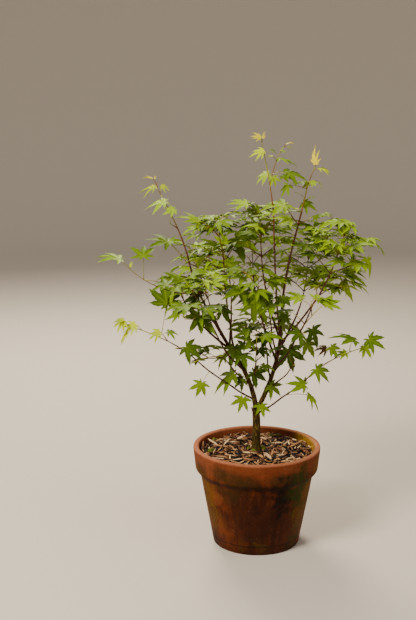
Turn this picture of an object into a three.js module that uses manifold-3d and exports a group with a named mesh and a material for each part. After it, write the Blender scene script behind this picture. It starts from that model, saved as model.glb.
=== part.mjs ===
// A young Japanese maple in a terracotta pot: millimetres, +Z up, origin at the centre of the pot's flat
// underside. The trunk, each bough and each mass of leaves is its own solid. A bough is butted against the
// limb that carries it, and a mass grows by a seeded rule from one stem that carries on from its bough's
// tip.
import * as THREE from 'three';
import { mergeVertices } from 'three/addons/utils/BufferGeometryUtils.js';
import Module from 'manifold-3d';

const wasm = await Module();
wasm.setup();

// Clearance between pieces that touch on the real plant
const GAP = 0.3;

// Pot: outer radii and heights from the foot to the lip
const POT = {
  height: 275, footRadius: 119, bodyTopRadius: 155, bodyTop: 196, bandFootRadius: 169, bandFoot: 214,
  rimRadius: 175, lip: 6, ease: 4, wall: 15, innerFoot: 108, floor: 15,
  sides: 36, drains: 3, drainRadius: 8, drainCircle: 45, drainSides: 12,
};

// Bark mulch that fills the pot: its height at the wall and at the trunk, how rough its top is outside a
// calm middle, the rings of points on it as shares of its radius, and the chips that lie on it: [length,
// width, height]
const MULCH = {
  edge: 254, middle: 262, rough: 3.5, calm: 32, rings: [0.84, 0.64, 0.44, 0.28, 0.17],
  chips: 8, chip: [27, 9.5, 4], uneven: 0.3, tilt: 0.3, seed: 41,
};

// Trunk: foot on the mulch to the fork
const TRUNK = {
  footX: -2.6, forkX: -2.6, forkHeight: 378, bow: 1.2, foot: 12, top: 10.4, flare: 4.5, flareShare: 0.07,
  sides: 12, steps: 9,
};

// Boughs. heading: degrees round from +X; reach: level distance from root to tip; rise: height gained; bow:
// how far the middle is pushed out along the heading; root and tip: radii; at: where on its parent it
// leaves.
const BOUGHS = [
  { name: 'left_limb', from: 'trunk', at: 0.95, heading: 172,
    reach: 82, rise: 185, bow: -16, root: 7.2, tip: 5.2, sides: 8, steps: 6 },
  { name: 'right_limb', from: 'trunk', at: 0.93, heading: -11,
    reach: 65, rise: 215, bow: 11, root: 7.0, tip: 4.9, sides: 8, steps: 6 },
  { name: 'left_leader', from: 'left_limb', at: 0.96, heading: 173,
    reach: 110, rise: 232, bow: 13, root: 3.8, tip: 2.3 },
  { name: 'left_arm', from: 'left_limb', at: 0.9, heading: -155,
    reach: 140, rise: 150, bow: 17, root: 3.2, tip: 1.9 },
  { name: 'mid_left_bough', from: 'left_limb', at: 0.95, heading: 86,
    reach: 46, rise: 105, bow: 4, root: 3.2, tip: 2.1 },
  { name: 'left_upright', from: 'left_limb', at: 0.82, heading: -120,
    reach: 62, rise: 262, bow: 10, root: 3.0, tip: 1.8 },
  { name: 'left_back_bough', from: 'left_limb', at: 0.7, heading: 126,
    reach: 132, rise: 112, bow: 12, root: 3.2, tip: 2.1 },
  { name: 'left_front_bough', from: 'left_limb', at: 0.6, heading: -122,
    reach: 128, rise: 118, bow: 12, root: 2.9, tip: 1.9 },
  { name: 'lower_left_bough', from: 'left_limb', at: 0.4, heading: -146,
    reach: 70, rise: 68, bow: 7, root: 2.3, tip: 1.6 },
  { name: 'low_left_bough', from: 'left_limb', at: 0.16, heading: -158,
    reach: 169, rise: 128, bow: 9, root: 2.5, tip: 1.7 },
  { name: 'inner_spur', from: 'left_limb', at: 0.3, heading: -82,
    reach: 50, rise: 72, bow: 5, root: 2.1, tip: 1.5 },
  { name: 'centre_shoot', from: 'right_limb', at: 0.93, heading: -113,
    reach: 53, rise: 320, bow: 6, root: 2.9, tip: 1.8 },
  { name: 'right_leader', from: 'right_limb', at: 0.97, heading: -32,
    reach: 44, rise: 292, bow: -10, root: 3.9, tip: 2.2 },
  { name: 'right_arm', from: 'right_limb', at: 0.9, heading: -4,
    reach: 111, rise: 152, bow: 8, root: 3.1, tip: 2.0 },
  { name: 'right_arm_low', from: 'right_limb', at: 0.52, heading: 30,
    reach: 120, rise: 168, bow: 10, root: 2.7, tip: 1.8 },
  { name: 'right_back_bough', from: 'right_limb', at: 0.8, heading: 66,
    reach: 150, rise: 96, bow: 13, root: 3.3, tip: 2.1 },
  { name: 'centre_back_bough', from: 'right_limb', at: 0.68, heading: 112,
    reach: 138, rise: 126, bow: 12, root: 3.1, tip: 2.0 },
  { name: 'low_back_bough', from: 'right_limb', at: 0.42, heading: 98,
    reach: 96, rise: 82, bow: 9, root: 2.5, tip: 1.7 },
  { name: 'centre_bough', from: 'right_limb', at: 0.95, heading: 156,
    reach: 54, rise: 190, bow: 8, root: 2.9, tip: 1.9 },
  { name: 'right_front_bough', from: 'right_limb', at: 0.6, heading: -62,
    reach: 104, rise: 92, bow: 11, root: 2.7, tip: 1.8 },
  { name: 'centre_front_bough', from: 'right_limb', at: 0.74, heading: -106,
    reach: 78, rise: 118, bow: 9, root: 2.6, tip: 1.7 },
  { name: 'lower_right_bough', from: 'right_limb', at: 0.3, heading: -36,
    reach: 76, rise: 70, bow: 7, root: 2.3, tip: 1.6 },
  { name: 'low_right_bough', from: 'trunk', at: 0.86, heading: -17,
    reach: 150, rise: 124, bow: 9, root: 2.5, tip: 1.6 },
  { name: 'fork_spur', from: 'trunk', at: 0.8, heading: -118,
    reach: 26, rise: 34, bow: 3, root: 1.9, tip: 1.4 },
];

// Masses of leaves. bough: the one whose tip carries it; centre and half: the egg-shaped space that it
// keeps to; pairs: of side twigs up its stem; leaf: length of a full-grown leaf; seed: of its rule.
const MASSES = [
  { name: 'top_left_wisp', bough: 'left_leader', pairs: 3, leaf: 56, seed: 11,
    centre: [-240, 26, 908], half: [62, 52, 118] },
  { name: 'left_arm_spray', bough: 'left_arm', pairs: 3, leaf: 78, seed: 12,
    centre: [-312, -68, 785], half: [124, 60, 86] },
  { name: 'low_left_spray', bough: 'low_left_bough', pairs: 3, leaf: 68, seed: 163,
    centre: [-285, -90, 600], half: [122, 60, 76] },
  { name: 'upper_left_crown', bough: 'left_upright', pairs: 3, leaf: 84, seed: 284,
    centre: [-132, -40, 915], half: [116, 108, 74] },
  { name: 'mid_left_crown', bough: 'mid_left_bough', pairs: 3, leaf: 84, seed: 15,
    centre: [-98, 92, 780], half: [104, 92, 112] },
  { name: 'left_back_crown', bough: 'left_back_bough', pairs: 4, leaf: 88, seed: 196,
    centre: [-170, 186, 730], half: [110, 92, 120] },
  { name: 'left_front_crown', bough: 'left_front_bough', pairs: 3, leaf: 92, seed: 347,
    centre: [-165, -145, 720], half: [104, 84, 96] },
  { name: 'lower_left_crown', bough: 'lower_left_bough', pairs: 2, leaf: 84, seed: 138,
    centre: [-138, -72, 522], half: [86, 70, 70] },
  { name: 'inner_spray', bough: 'inner_spur', pairs: 2, leaf: 84, seed: 229,
    centre: [-4, -100, 572], half: [82, 66, 80] },
  { name: 'centre_top_shoot', bough: 'centre_shoot', pairs: 3, leaf: 54, seed: 200,
    centre: [22, -62, 1006], half: [70, 60, 124] },
  { name: 'right_top_shoot', bough: 'right_leader', pairs: 3, leaf: 54, seed: 351,
    centre: [122, -40, 982], half: [64, 58, 116] },
  { name: 'right_crown', bough: 'right_arm', pairs: 4, leaf: 84, seed: 22,
    centre: [216, -14, 845], half: [112, 108, 108] },
  { name: 'right_mid_crown', bough: 'right_arm_low', pairs: 3, leaf: 84, seed: 23,
    centre: [196, 84, 705], half: [100, 84, 88] },
  { name: 'right_back_crown', bough: 'right_back_bough', pairs: 4, leaf: 88, seed: 24,
    centre: [136, 206, 760], half: [112, 92, 120] },
  { name: 'centre_back_crown', bough: 'centre_back_bough', pairs: 4, leaf: 88, seed: 235,
    centre: [-12, 192, 790], half: [100, 90, 122] },
  { name: 'low_back_crown', bough: 'low_back_bough', pairs: 3, leaf: 84, seed: 296,
    centre: [18, 136, 570], half: [96, 76, 80] },
  { name: 'centre_crown', bough: 'centre_bough', pairs: 4, leaf: 84, seed: 357,
    centre: [6, 24, 880], half: [106, 98, 92] },
  { name: 'right_front_crown', bough: 'right_front_bough', pairs: 3, leaf: 86, seed: 148,
    centre: [136, -140, 660], half: [90, 80, 82] },
  { name: 'centre_front_crown', bough: 'centre_front_bough', pairs: 3, leaf: 90, seed: 359,
    centre: [-10, -138, 738], half: [90, 82, 88] },
  { name: 'lower_right_crown', bough: 'lower_right_bough', pairs: 2, leaf: 80, seed: 90,
    centre: [128, -70, 530], half: [80, 66, 64] },
  { name: 'low_right_spray', bough: 'low_right_bough', pairs: 3, leaf: 66, seed: 61,
    centre: [244, -54, 545], half: [116, 60, 66] },
  { name: 'fork_spray', bough: 'fork_spur', pairs: 1, leaf: 60, seed: 32,
    centre: [-26, -60, 404], half: [60, 54, 56] },
];

// Stem of a mass: swell of its root over its bough's tip, radius of its own tip, share of the way from the
// middle of its space to the wall, how long it keeps to its bough's direction, and the stretch of it that
// side twigs stand on
const STEM = { swell: 1.3, tip: 2.2, steps: 4, reach: 0.55, bend: 0.42, lowest: 0.22, highest: 0.92, uneven: 0.4 };

// Side twigs: radius, how far they lean forward along the stem, are pressed towards the level, lift and arch;
// longest and shortest length, and the share of the room before the wall that a twig takes
const TWIG = {
  radius: 1.25, sides: 3, forward: 0.55, level: 0.5, lift: 0.12, arch: 0.06,
  firstTurn: 37, pairTurn: 90, turn: 40,
  longest: 90, shortest: 14, roomShare: 0.5, lengths: [0.8, 1], clear: 2,
};

// One leaf: lobes and the notches between them as [turn from the middle lobe in degrees, share of its
// length], height of its middle above and below the rim, how far its lobes droop, where its heart is, and
// its stalk's length and half widths
const LEAF = {
  lobes: [[0, 1], [43, 0.87], [90, 0.62]],
  notches: [[22, 0.43], [67, 0.38], [150, 0.07]],
  over: 0.8, under: 1.0, droop: 0.22, heart: 0.4,
  stalk: [22, 38], stalkHalf: 1.3, stalkFoot: 0.35, stalkEnd: 0.05,
};

// How leaves stand: degrees between a pair and their twig, depth of their roots from its tip; random turn,
// size and rise of the stalk; how level and how much outwards a face looks and how far it is tilted at
// random; the height above which leaves lie level; attempts at a leaf, how much each turns and shrinks it,
// and what it keeps clear of
const SETTING = {
  spread: [42, 62], roots: [4.5, 3, 1.5], shares: [1, 0.94, 0.98], flatten: 0.35,
  turn: 30, size: [0.85, 1.1], rise: [0.1, 0.4], hang: [0.1, 0.5],
  up: [0.8, 0.5], out: 0.4, tilt: 0.6, levelAbove: 950,
  tries: 8, moreTurn: 25, shrink: 0.03, inside: 0.95, standOut: 1.35, clear: 1.5, bareStalk: 0.6,
};

const COLOURS = { terracotta: 0xb5622f, mulch: 0x6b4a33, bark: 0x6d5a38, shoot: 0x5b2f22, leaf: 0x6b9a2e };
const ROUGH = { terracotta: 0.85, mulch: 0.95, bark: 0.8, shoot: 0.6, leaf: 0.5 };
const material = (finish) =>
  new THREE.MeshStandardMaterial({ color: COLOURS[finish], roughness: ROUGH[finish], metalness: 0 });

const UP = new THREE.Vector3(0, 0, 1);
const vector = (values) => new THREE.Vector3(...values);
const radians = THREE.MathUtils.degToRad;
const between = ([low, high], share) => low + (high - low) * share;

// Solids: joins and cuts are done on closed meshes, whose points lie on a grid this fine and are merged there
const FINE = 1e-3;

function solidOf(geometry) {
  const bare = geometry.index ? geometry.toNonIndexed() : geometry.clone();
  bare.deleteAttribute('normal');
  bare.deleteAttribute('uv');
  const merged = mergeVertices(bare, FINE);
  return new wasm.Manifold(new wasm.Mesh({
    numProp: 3,
    vertProperties: merged.attributes.position.array,
    triVerts: new Uint32Array(merged.index.array),
  }));
}

// The one largest body of a solid: scraps that a cut leaves loose are dropped, and sealed hollows are filled
function largestBody(solid) {
  return solid.decompose().reduce((best, body) => (body.volume() > best.volume() ? body : best));
}

// The solid once more from its merged points, so that no neck thinner than the grid holds it together
const settled = (solid) => largestBody(solidOf(geometryOf(largestBody(solid))));

function geometryOf(solid) {
  const { numProp, numVert, vertProperties, triVerts } = solid.getMesh();
  const places = new Float32Array(numVert * 3);
  for (let i = 0; i < numVert; i++) places.set(vertProperties.subarray(i * numProp, i * numProp + 3), i * 3);
  const geometry = new THREE.BufferGeometry();
  geometry.setAttribute('position', new THREE.BufferAttribute(places.map((v) => Math.round(v / FINE) * FINE), 3));
  geometry.setIndex(new THREE.BufferAttribute(triVerts, 1));
  geometry.computeVertexNormals();
  return geometry;
}

// Whether every edge still lies between just two faces where points at one place count as one
function isSound(solid) {
  const geometry = geometryOf(solid);
  const places = geometry.attributes.position;
  const seen = new Map();
  const idOf = (i) => {
    const key = `${places.getX(i)},${places.getY(i)},${places.getZ(i)}`;
    if (!seen.has(key)) seen.set(key, seen.size);
    return seen.get(key);
  };
  const corners = [...geometry.index.array].map(idOf);
  const uses = new Map();
  for (let i = 0; i < corners.length; i += 3) {
    const face = corners.slice(i, i + 3);
    if (new Set(face).size < 3) continue;
    face.forEach((a, k) => {
      const b = face[(k + 1) % 3];
      const edge = `${Math.min(a, b)},${Math.max(a, b)}`;
      uses.set(edge, (uses.get(edge) ?? 0) + 1);
    });
  }
  return [...uses.values()].every((count) => count === 2);
}

const hitsAny = (solid, others) => others.some((other) => !solid.intersect(other).isEmpty());

// Least share of a piece's own volume that joining it must add
const LEAST_GAIN = 0.8;

// Two solids joined, or nothing where the second barely holds on or leaves an edge that more than two faces
// share
function joined(whole, more) {
  const made = settled(whole.add(more));
  const gained = made.volume() - whole.volume();
  return gained > LEAST_GAIN * more.volume() && isSound(made) ? made : null;
}

const plant = new THREE.Group();

function addNode(name, solid, finish) {
  const mesh = new THREE.Mesh(geometryOf(settled(solid)), material(finish));
  mesh.name = name;
  plant.add(mesh);
}

// A seeded generator of numbers from 0 to 1: a linear congruence on 32 bits
function seeded(seed) {
  let state = Math.imul(seed, 2654435761) >>> 0;
  return () => {
    state = (Math.imul(state, 1664525) + 1013904223) >>> 0;
    return state / 4294967296;
  };
}

// Limbs

// Above this height of its unit vector a direction counts as upright
const STEEP = 0.9;

// A closed tube: a cylinder bent along a curve, with its radius a function of the share of the way along
function tube(curve, radiusAt, sides, steps) {
  const geometry = new THREE.CylinderGeometry(1, 1, 1, sides, steps);
  const places = geometry.attributes.position;
  const chord = curve.getPoint(1).sub(curve.getPoint(0)).normalize();
  const across = Math.abs(chord.z) < STEEP ? UP : new THREE.Vector3(0, 1, 0);
  for (let i = 0; i < places.count; i++) {
    const share = places.getY(i) + 0.5;
    const along = curve.getTangent(share);
    const side = new THREE.Vector3().crossVectors(across, along).normalize();
    const third = new THREE.Vector3().crossVectors(side, along);
    const radius = radiusAt(share);
    const point = curve.getPoint(share);
    point.addScaledVector(side, places.getX(i) * radius).addScaledVector(third, places.getZ(i) * radius);
    places.setXYZ(i, point.x, point.y, point.z);
  }
  return geometry;
}

const tapered = (root, tip) => (share) => root + (tip - root) * share;

function limbCurve(root, heading, reach, rise, bow) {
  const out = new THREE.Vector3(Math.cos(radians(heading)), Math.sin(radians(heading)), 0);
  const tip = root.clone().addScaledVector(out, reach).addScaledVector(UP, rise);
  const bend = root.clone().lerp(tip, 0.5).addScaledVector(out, 2 * bow);
  return new THREE.QuadraticBezierCurve3(root, bend, tip);
}

// What a later limb is cut by: the same limb, fatter by the gap and longer at its tip
function keptClear(limb, gap) {
  const { curve, radiusAt, sides, steps } = limb;
  const end = curve.getPoint(1).addScaledVector(curve.getTangent(1), gap);
  const longer = new THREE.QuadraticBezierCurve3(curve.v0, curve.v1, end);
  return solidOf(tube(longer, (share) => (radiusAt(share) + gap) / Math.cos(Math.PI / sides), sides, steps));
}

function trunkRadius(share) {
  const flare = TRUNK.flare * Math.exp(-share / TRUNK.flareShare);
  return TRUNK.foot + (TRUNK.top - TRUNK.foot) * share + flare;
}

function makeTrunk() {
  const foot = new THREE.Vector3(TRUNK.footX, 0, MULCH.middle + GAP);
  const fork = new THREE.Vector3(TRUNK.forkX, 0, TRUNK.forkHeight);
  const bend = foot.clone().lerp(fork, 0.5);
  bend.x += 2 * TRUNK.bow;
  const curve = new THREE.QuadraticBezierCurve3(foot, bend, fork);
  const geometry = tube(curve, trunkRadius, TRUNK.sides, TRUNK.steps);
  const places = geometry.attributes.position;
  // The foot is one flat cut: its slightly tilted ring is levelled
  for (let i = 0; i < places.count; i++) if (places.getZ(i) < foot.z + 1) places.setZ(i, foot.z);
  const { sides, steps } = TRUNK;
  return { name: 'trunk', curve, radiusAt: trunkRadius, sides, steps, solid: solidOf(geometry) };
}

function makeBough(plan, limbs) {
  const parent = limbs.get(plan.from);
  const root = parent.curve.getPoint(plan.at);
  const curve = limbCurve(root, plan.heading, plan.reach, plan.rise, plan.bow);
  const radiusAt = tapered(plan.root, plan.tip);
  const sides = plan.sides ?? 5;
  const steps = plan.steps ?? 4;
  let solid = solidOf(tube(curve, radiusAt, sides, steps));
  for (const other of limbs.values()) {
    const cutter = keptClear(other, GAP);
    if (!solid.intersect(cutter).isEmpty()) solid = solid.subtract(cutter);
  }
  return { name: plan.name, curve, radiusAt, sides, steps, solid: largestBody(solid) };
}

const limbs = new Map();
limbs.set('trunk', makeTrunk());
for (const plan of BOUGHS) limbs.set(plan.name, makeBough(plan, limbs));

// Nearest distance from a point to the skin of any limb, from straight stretches of each limb's axis
const STRETCHES = 10;
const limbStretches = [...limbs.values()].flatMap(({ curve, radiusAt }) => {
  const points = curve.getPoints(STRETCHES);
  const stretch = (end, i) => ({ line: new THREE.Line3(points[i], end), radius: radiusAt(i / STRETCHES) });
  return points.slice(1).map(stretch);
});
const nearest = new THREE.Vector3();
function clearOfLimbs(point, margin) {
  return limbStretches.every(({ line, radius }) =>
    line.closestPointToPoint(point, true, nearest).distanceTo(point) > radius + margin);
}
const allLimbs = wasm.Manifold.union([...limbs.values()].map((limb) => keptClear(limb, 2 * GAP)));

// Spaces: an egg shape for each mass, and a plane between each two, placed by their sizes on the line
// between them

const reachTowards = (mass, way) =>
  1 / Math.hypot(way.x / mass.half[0], way.y / mass.half[1], way.z / mass.half[2]);

function makeSpace(mass) {
  const centre = vector(mass.centre);
  const planes = MASSES.filter((other) => other !== mass).map((other) => {
    const way = vector(other.centre).sub(centre);
    const apart = way.length();
    way.normalize();
    const own = reachTowards(mass, way);
    const share = own / (own + reachTowards(other, way));
    return { way, limit: centre.dot(way) + share * apart - GAP };
  });
  return { centre, half: vector(mass.half), planes };
}

// Whether a point is in a space whose egg and planes are moved out to this share of their distance
function inSpace(space, point, share) {
  const egg = point.clone().sub(space.centre).divide(space.half);
  if (egg.length() > share) return false;
  const beyond = ({ way, limit }) => point.dot(way) - limit - (share - 1) * (limit - space.centre.dot(way));
  return space.planes.every((plane) => beyond(plane) < 0);
}

// How far it is from a point to the wall of a space, going one way
function wayToWall(space, point, way) {
  const p = point.clone().sub(space.centre).divide(space.half);
  const w = way.clone().divide(space.half);
  const a = w.dot(w);
  const b = p.dot(w);
  const c = p.dot(p) - 1;
  const root = b * b - a * c;
  let far = root > 0 ? (-b + Math.sqrt(root)) / a : 0;
  for (const plane of space.planes) {
    const speed = way.dot(plane.way);
    if (speed > 1e-6) far = Math.min(far, (plane.limit - point.dot(plane.way)) / speed);
  }
  return Math.max(far, 0);
}

// Leaves

const polar = ([turn, share], hand) => [share * Math.cos(radians(turn)), hand * share * Math.sin(radians(turn))];

// Outline from the right notch at the stalk, round by the middle lobe, to the left one, as shares of the
// length
const OUTLINE = (() => {
  const half = [LEAF.lobes[0], LEAF.notches[0], LEAF.lobes[1], LEAF.notches[1], LEAF.lobes[2], LEAF.notches[2]];
  return [...half.slice(1).reverse().map((p) => polar(p, -1)), ...half.map((p) => polar(p, 1))];
})();

// The points of one leaf: its rim from the right of the stalk's foot round to the left of it, the middle of
// the blade above and below, and the underside of the foot. More than its own thickness is asked for where
// it is only tested.
function leafPoints({ base, forward, normal, length, root }, extra = 0) {
  const side = new THREE.Vector3().crossVectors(normal, forward);
  const at = (x, y, z) =>
    base.clone().addScaledVector(forward, x).addScaledVector(side, y).addScaledVector(normal, z);
  const foot = (y, z) => root.clone().addScaledVector(side, y).addScaledVector(normal, z);
  const size = length + 2 * extra;
  const f = LEAF.stalkFoot;
  const h = LEAF.stalkHalf + extra;
  const blade = OUTLINE.map(([x, y]) => at(x * size, y * size, -LEAF.droop * size * (x * x + y * y)));
  blade[0] = at(-LEAF.stalkEnd * size, -h, 0);
  blade[blade.length - 1] = at(-LEAF.stalkEnd * size, h, 0);
  const rim = [foot(-f, f), ...blade, foot(f, f)];
  return { rim, blade, over: at(0, 0, LEAF.over + extra), under: at(0, 0, -LEAF.under - extra), low: foot(0, -f) };
}

// One closed leaf: a thin star, ridged at its middle, its lobes drooping, with its three-sided stalk
function leafSolid({ rim, over, under, low }) {
  const last = rim.length - 1;
  const points = [...rim, over, under, low];
  const [o, u, l] = [last + 1, last + 2, last + 3];
  const faces = [[o, last - 1, 1], [last, 0, 1], [last, 1, last - 1], [0, last, l]];
  faces.push([last, last - 1, u], [last, u, l], [1, 0, u], [0, l, u]);
  for (let i = 1; i < last - 1; i++) faces.push([o, i, i + 1], [u, i + 1, i]);
  const geometry = new THREE.BufferGeometry();
  geometry.setAttribute('position', new THREE.Float32BufferAttribute(points.flatMap((p) => p.toArray()), 3));
  geometry.setIndex(faces.flat());
  return solidOf(geometry);
}

// The stem of a mass: on from its bough's tip, through the middle of its space and most of the way to the
// far wall
function growStem(mass) {
  const space = makeSpace(mass);
  const bough = limbs.get(mass.bough);
  const start = bough.curve.getTangent(1);
  const begin = bough.curve.getPoint(1).addScaledVector(start, GAP);
  const beyond = space.centre.clone().sub(begin).normalize();
  const end = space.centre.clone().addScaledVector(beyond, STEM.reach * wayToWall(space, space.centre, beyond));
  const length = end.distanceTo(begin);
  const bend = begin.clone().addScaledVector(start, STEM.bend * length);
  const stem = new THREE.QuadraticBezierCurve3(begin, bend, end);
  const radiusAt = tapered(STEM.swell * bough.radiusAt(1), STEM.tip);
  const solid = solidOf(tube(stem, radiusAt, TWIG.sides, STEM.steps));
  return { mass, space, stem, length, solid, random: seeded(mass.seed) };
}

// Side twigs stand in pairs up the stem, each pair turned from the last and pressed towards the level. A
// twig that would leave its space, touch anything or hold no leaf is skipped, and so is a leaf that would.
function growTwigs(crown, crowns) {
  const { mass, space, stem, length, random } = crown;
  const others = [allLimbs, ...crowns.filter((other) => other !== crown).map((other) => other.solid)];
  for (let k = 0; k < mass.pairs; k++) {
    const share = between([STEM.lowest, STEM.highest], (k + STEM.uneven * random()) / mass.pairs);
    const node = stem.getPoint(share);
    const along = stem.getTangent(share);
    const turn = radians(TWIG.firstTurn * mass.seed + TWIG.pairTurn * k + TWIG.turn * (random() - 0.5));
    const level = Math.abs(along.z) < STEEP ? UP : new THREE.Vector3(1, 0, 0);
    const right = new THREE.Vector3().crossVectors(along, level).normalize();
    const front = new THREE.Vector3().crossVectors(along, right);
    for (const hand of [1, -1]) {
      const way = right.clone().multiplyScalar(hand * Math.cos(turn));
      way.addScaledVector(front, hand * Math.sin(turn));
      way.z *= TWIG.level;
      way.normalize().addScaledVector(along, TWIG.forward).addScaledVector(UP, TWIG.lift).normalize();
      const room = wayToWall(space, node, way);
      const reach = Math.min(TWIG.longest, TWIG.roomShare * room) * between(TWIG.lengths, random());
      const mark = 10 * (2 * k + (hand > 0 ? 1 : 2));
      if (reach < TWIG.shortest) {
        addLeaf(crown, others, { at: node, along: way, spread: 0, share: 1 }, mark);
        continue;
      }
      const tip = node.clone().addScaledVector(way, reach);
      const middle = node.clone().lerp(tip, 0.5).addScaledVector(UP, TWIG.arch * reach);
      const curve = new THREE.QuadraticBezierCurve3(node, middle, tip);
      if (!curve.getPoints(6).slice(1).every((p) => inSpace(space, p, 1) && clearOfLimbs(p, TWIG.clear))) continue;
      const twig = solidOf(tube(curve, () => TWIG.radius, TWIG.sides, 1));
      if (hitsAny(twig, others)) continue;
      const bare = crown.solid;
      const grown = joined(bare, twig);
      if (!grown) continue;
      crown.solid = grown;
      const leaves = budsOf(curve, reach).filter((bud, i) => addLeaf(crown, others, bud, mark + i));
      if (!leaves.length) crown.solid = bare;
    }
  }
  budsOf(stem, length).forEach((bud, i) => addLeaf(crown, others, bud, i));
}

// Where leaves stand on a twig: a pair at its tip, and on a long one an end leaf between them. at: where
// the leaf roots; along: the way the twig heads; spread: degrees that the leaf turns from it; share: of the
// full size.
function budsOf(curve, length) {
  const long = length > TWIG.longest / 2;
  const spread = SETTING.spread[long ? 1 : 0];
  const along = curve.getTangent(1);
  const turns = long ? [spread, -spread, 0] : [spread, -spread];
  return turns.map((turn, i) => {
    const at = curve.getPoint(1).addScaledVector(along, -SETTING.roots[i]);
    return { at, along, spread: turn, share: SETTING.shares[i] };
  });
}

// A leaf on its bud: the stalk leads out level, and the blade hangs a little and turns its face up and
// outwards, more outwards the lower it is. Each further attempt turns it more and makes it a little
// smaller.
function placeLeaf(bud, mass, random, attempt) {
  const s = SETTING;
  const level = new THREE.Vector3(bud.along.x, bud.along.y, s.flatten * bud.along.z);
  level.applyAxisAngle(UP, radians(bud.spread + (s.turn + s.moreTurn * attempt) * (random() - 0.5))).normalize();
  const stalkWay = level.clone().addScaledVector(UP, between(s.rise, random())).normalize();
  const stalk = between(LEAF.stalk, random());
  const length = mass.leaf * bud.share * between(s.size, random()) * (1 - s.shrink * attempt);
  const root = bud.at;
  const base = root.clone().addScaledVector(stalkWay, stalk);
  const low = THREE.MathUtils.clamp(1 - base.z / s.levelAbove, 0, 1);
  const hang = between([s.hang[0], s.hang[1] + low], random());
  const forward = level.clone().addScaledVector(UP, -hang).normalize();
  const outward = new THREE.Vector3(base.x, base.y, 0).normalize();
  const normal = UP.clone().multiplyScalar(between(s.up, low)).addScaledVector(outward, s.out + low);
  normal.x += s.tilt * (random() - 0.5);
  normal.y += s.tilt * (random() - 0.5);
  normal.addScaledVector(forward, -normal.dot(forward)).normalize();
  return { base, forward, normal, length, root };
}

// Adds one leaf to a mass if some attempt at it fits
function addLeaf(crown, others, bud, mark) {
  const { mass, space } = crown;
  for (let attempt = 0; attempt < SETTING.tries; attempt++) {
    const placed = placeLeaf(bud, mass, seeded(mass.seed * 1000 + mark * 10 + attempt), attempt);
    const { blade, over } = leafPoints(placed);
    const middle = placed.base.clone().addScaledVector(placed.forward, LEAF.heart * placed.length);
    if (!inSpace(space, middle, SETTING.inside)) continue;
    const fits = (p) => inSpace(space, p, SETTING.standOut) && clearOfLimbs(p, SETTING.clear);
    if (![...blade, over].every(fits)) continue;
    if (hitsAny(leafSolid(leafPoints(placed, GAP)), others)) continue;
    const bladeAlone = { ...placed, root: placed.base.clone().lerp(placed.root, SETTING.bareStalk) };
    if (hitsAny(leafSolid(leafPoints(bladeAlone)), [crown.solid])) continue;
    const grown = joined(crown.solid, leafSolid(leafPoints(placed)));
    if (!grown) continue;
    crown.solid = grown;
    return true;
  }
  return false;
}

// Pot

// A profile of [radius, height] points, from the axis round to the axis, turned about it
function spin(profile, sides) {
  const points = profile.map(([radius, height]) => new THREE.Vector2(radius, height));
  return new THREE.LatheGeometry(points, sides).rotateX(Math.PI / 2);
}

// A rounded outer corner of a profile: an eighth of a turn at a time from one angle to the other
function corner(radius, height, size, from) {
  return [0, 45, 90].map((more) => {
    const turn = radians(from + more);
    return [radius + size * Math.cos(turn), height + size * Math.sin(turn)];
  });
}

// The inside of the pot is one straight cone from its floor to its mouth
const innerRadius = (height) =>
  between([POT.innerFoot, POT.rimRadius - POT.wall], (height - POT.floor) / (POT.height - POT.floor));

function makePot() {
  const p = POT;
  const profile = [
    [0, 0], ...corner(p.footRadius - p.lip, p.lip, p.lip, -90),
    [p.bodyTopRadius, p.bodyTop], [p.bodyTopRadius + p.ease, p.bodyTop + p.ease],
    [p.bandFootRadius - p.ease, p.bandFoot - p.ease], [p.bandFootRadius, p.bandFoot],
    ...corner(p.rimRadius - p.lip, p.height - p.lip, p.lip, 0),
    [innerRadius(p.height) + p.ease, p.height], [innerRadius(p.height - p.ease), p.height - p.ease],
    [innerRadius(p.floor), p.floor], [0, p.floor],
  ];
  let pot = solidOf(spin(profile, p.sides));
  for (let i = 0; i < p.drains; i++) {
    const turn = (2 * Math.PI * i) / p.drains;
    const drain = new THREE.CylinderGeometry(p.drainRadius, p.drainRadius, 3 * p.floor, p.drainSides);
    drain.rotateX(Math.PI / 2).translate(p.drainCircle * Math.cos(turn), p.drainCircle * Math.sin(turn), 0);
    pot = pot.subtract(solidOf(drain));
  }
  return pot;
}

// Mulch: a plug that fills the pot, its top rough but level where the trunk stands, with chips of bark
// lying on it
function mulchHeight(radius) {
  if (radius < MULCH.calm) return MULCH.middle;
  return MULCH.middle + (MULCH.edge - MULCH.middle) * (radius / innerRadius(MULCH.edge)) ** 2;
}

// Moves the points of the mulch's top up and down at random, and its turned shape's last line of points
// with the first
function roughen(geometry, lines, edge, random) {
  const places = geometry.attributes.position;
  const last = places.count - lines;
  for (let i = 0; i < last; i++) {
    const radius = Math.hypot(places.getX(i), places.getY(i));
    const bump = MULCH.rough * (2 * random() - 1);
    const onTop = places.getZ(i) > POT.height / 2 && radius > MULCH.calm && radius < edge - 1;
    if (onTop) places.setZ(i, places.getZ(i) + bump);
  }
  for (let i = 0; i < lines; i++) places.setXYZ(last + i, places.getX(i), places.getY(i), places.getZ(i));
}

function makeChip(place, random) {
  const [length, width, height] = MULCH.chip;
  const uneven = (size) => size * (1 + MULCH.uneven * (2 * random() - 1));
  const tilt = () => MULCH.tilt * (2 * random() - 1);
  const chip = new THREE.BoxGeometry(uneven(length), uneven(width), height);
  chip.rotateX(tilt()).rotateY(tilt()).rotateZ(Math.PI * random());
  return solidOf(chip.translate(place.x, place.y, place.z + height / 2));
}

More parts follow.
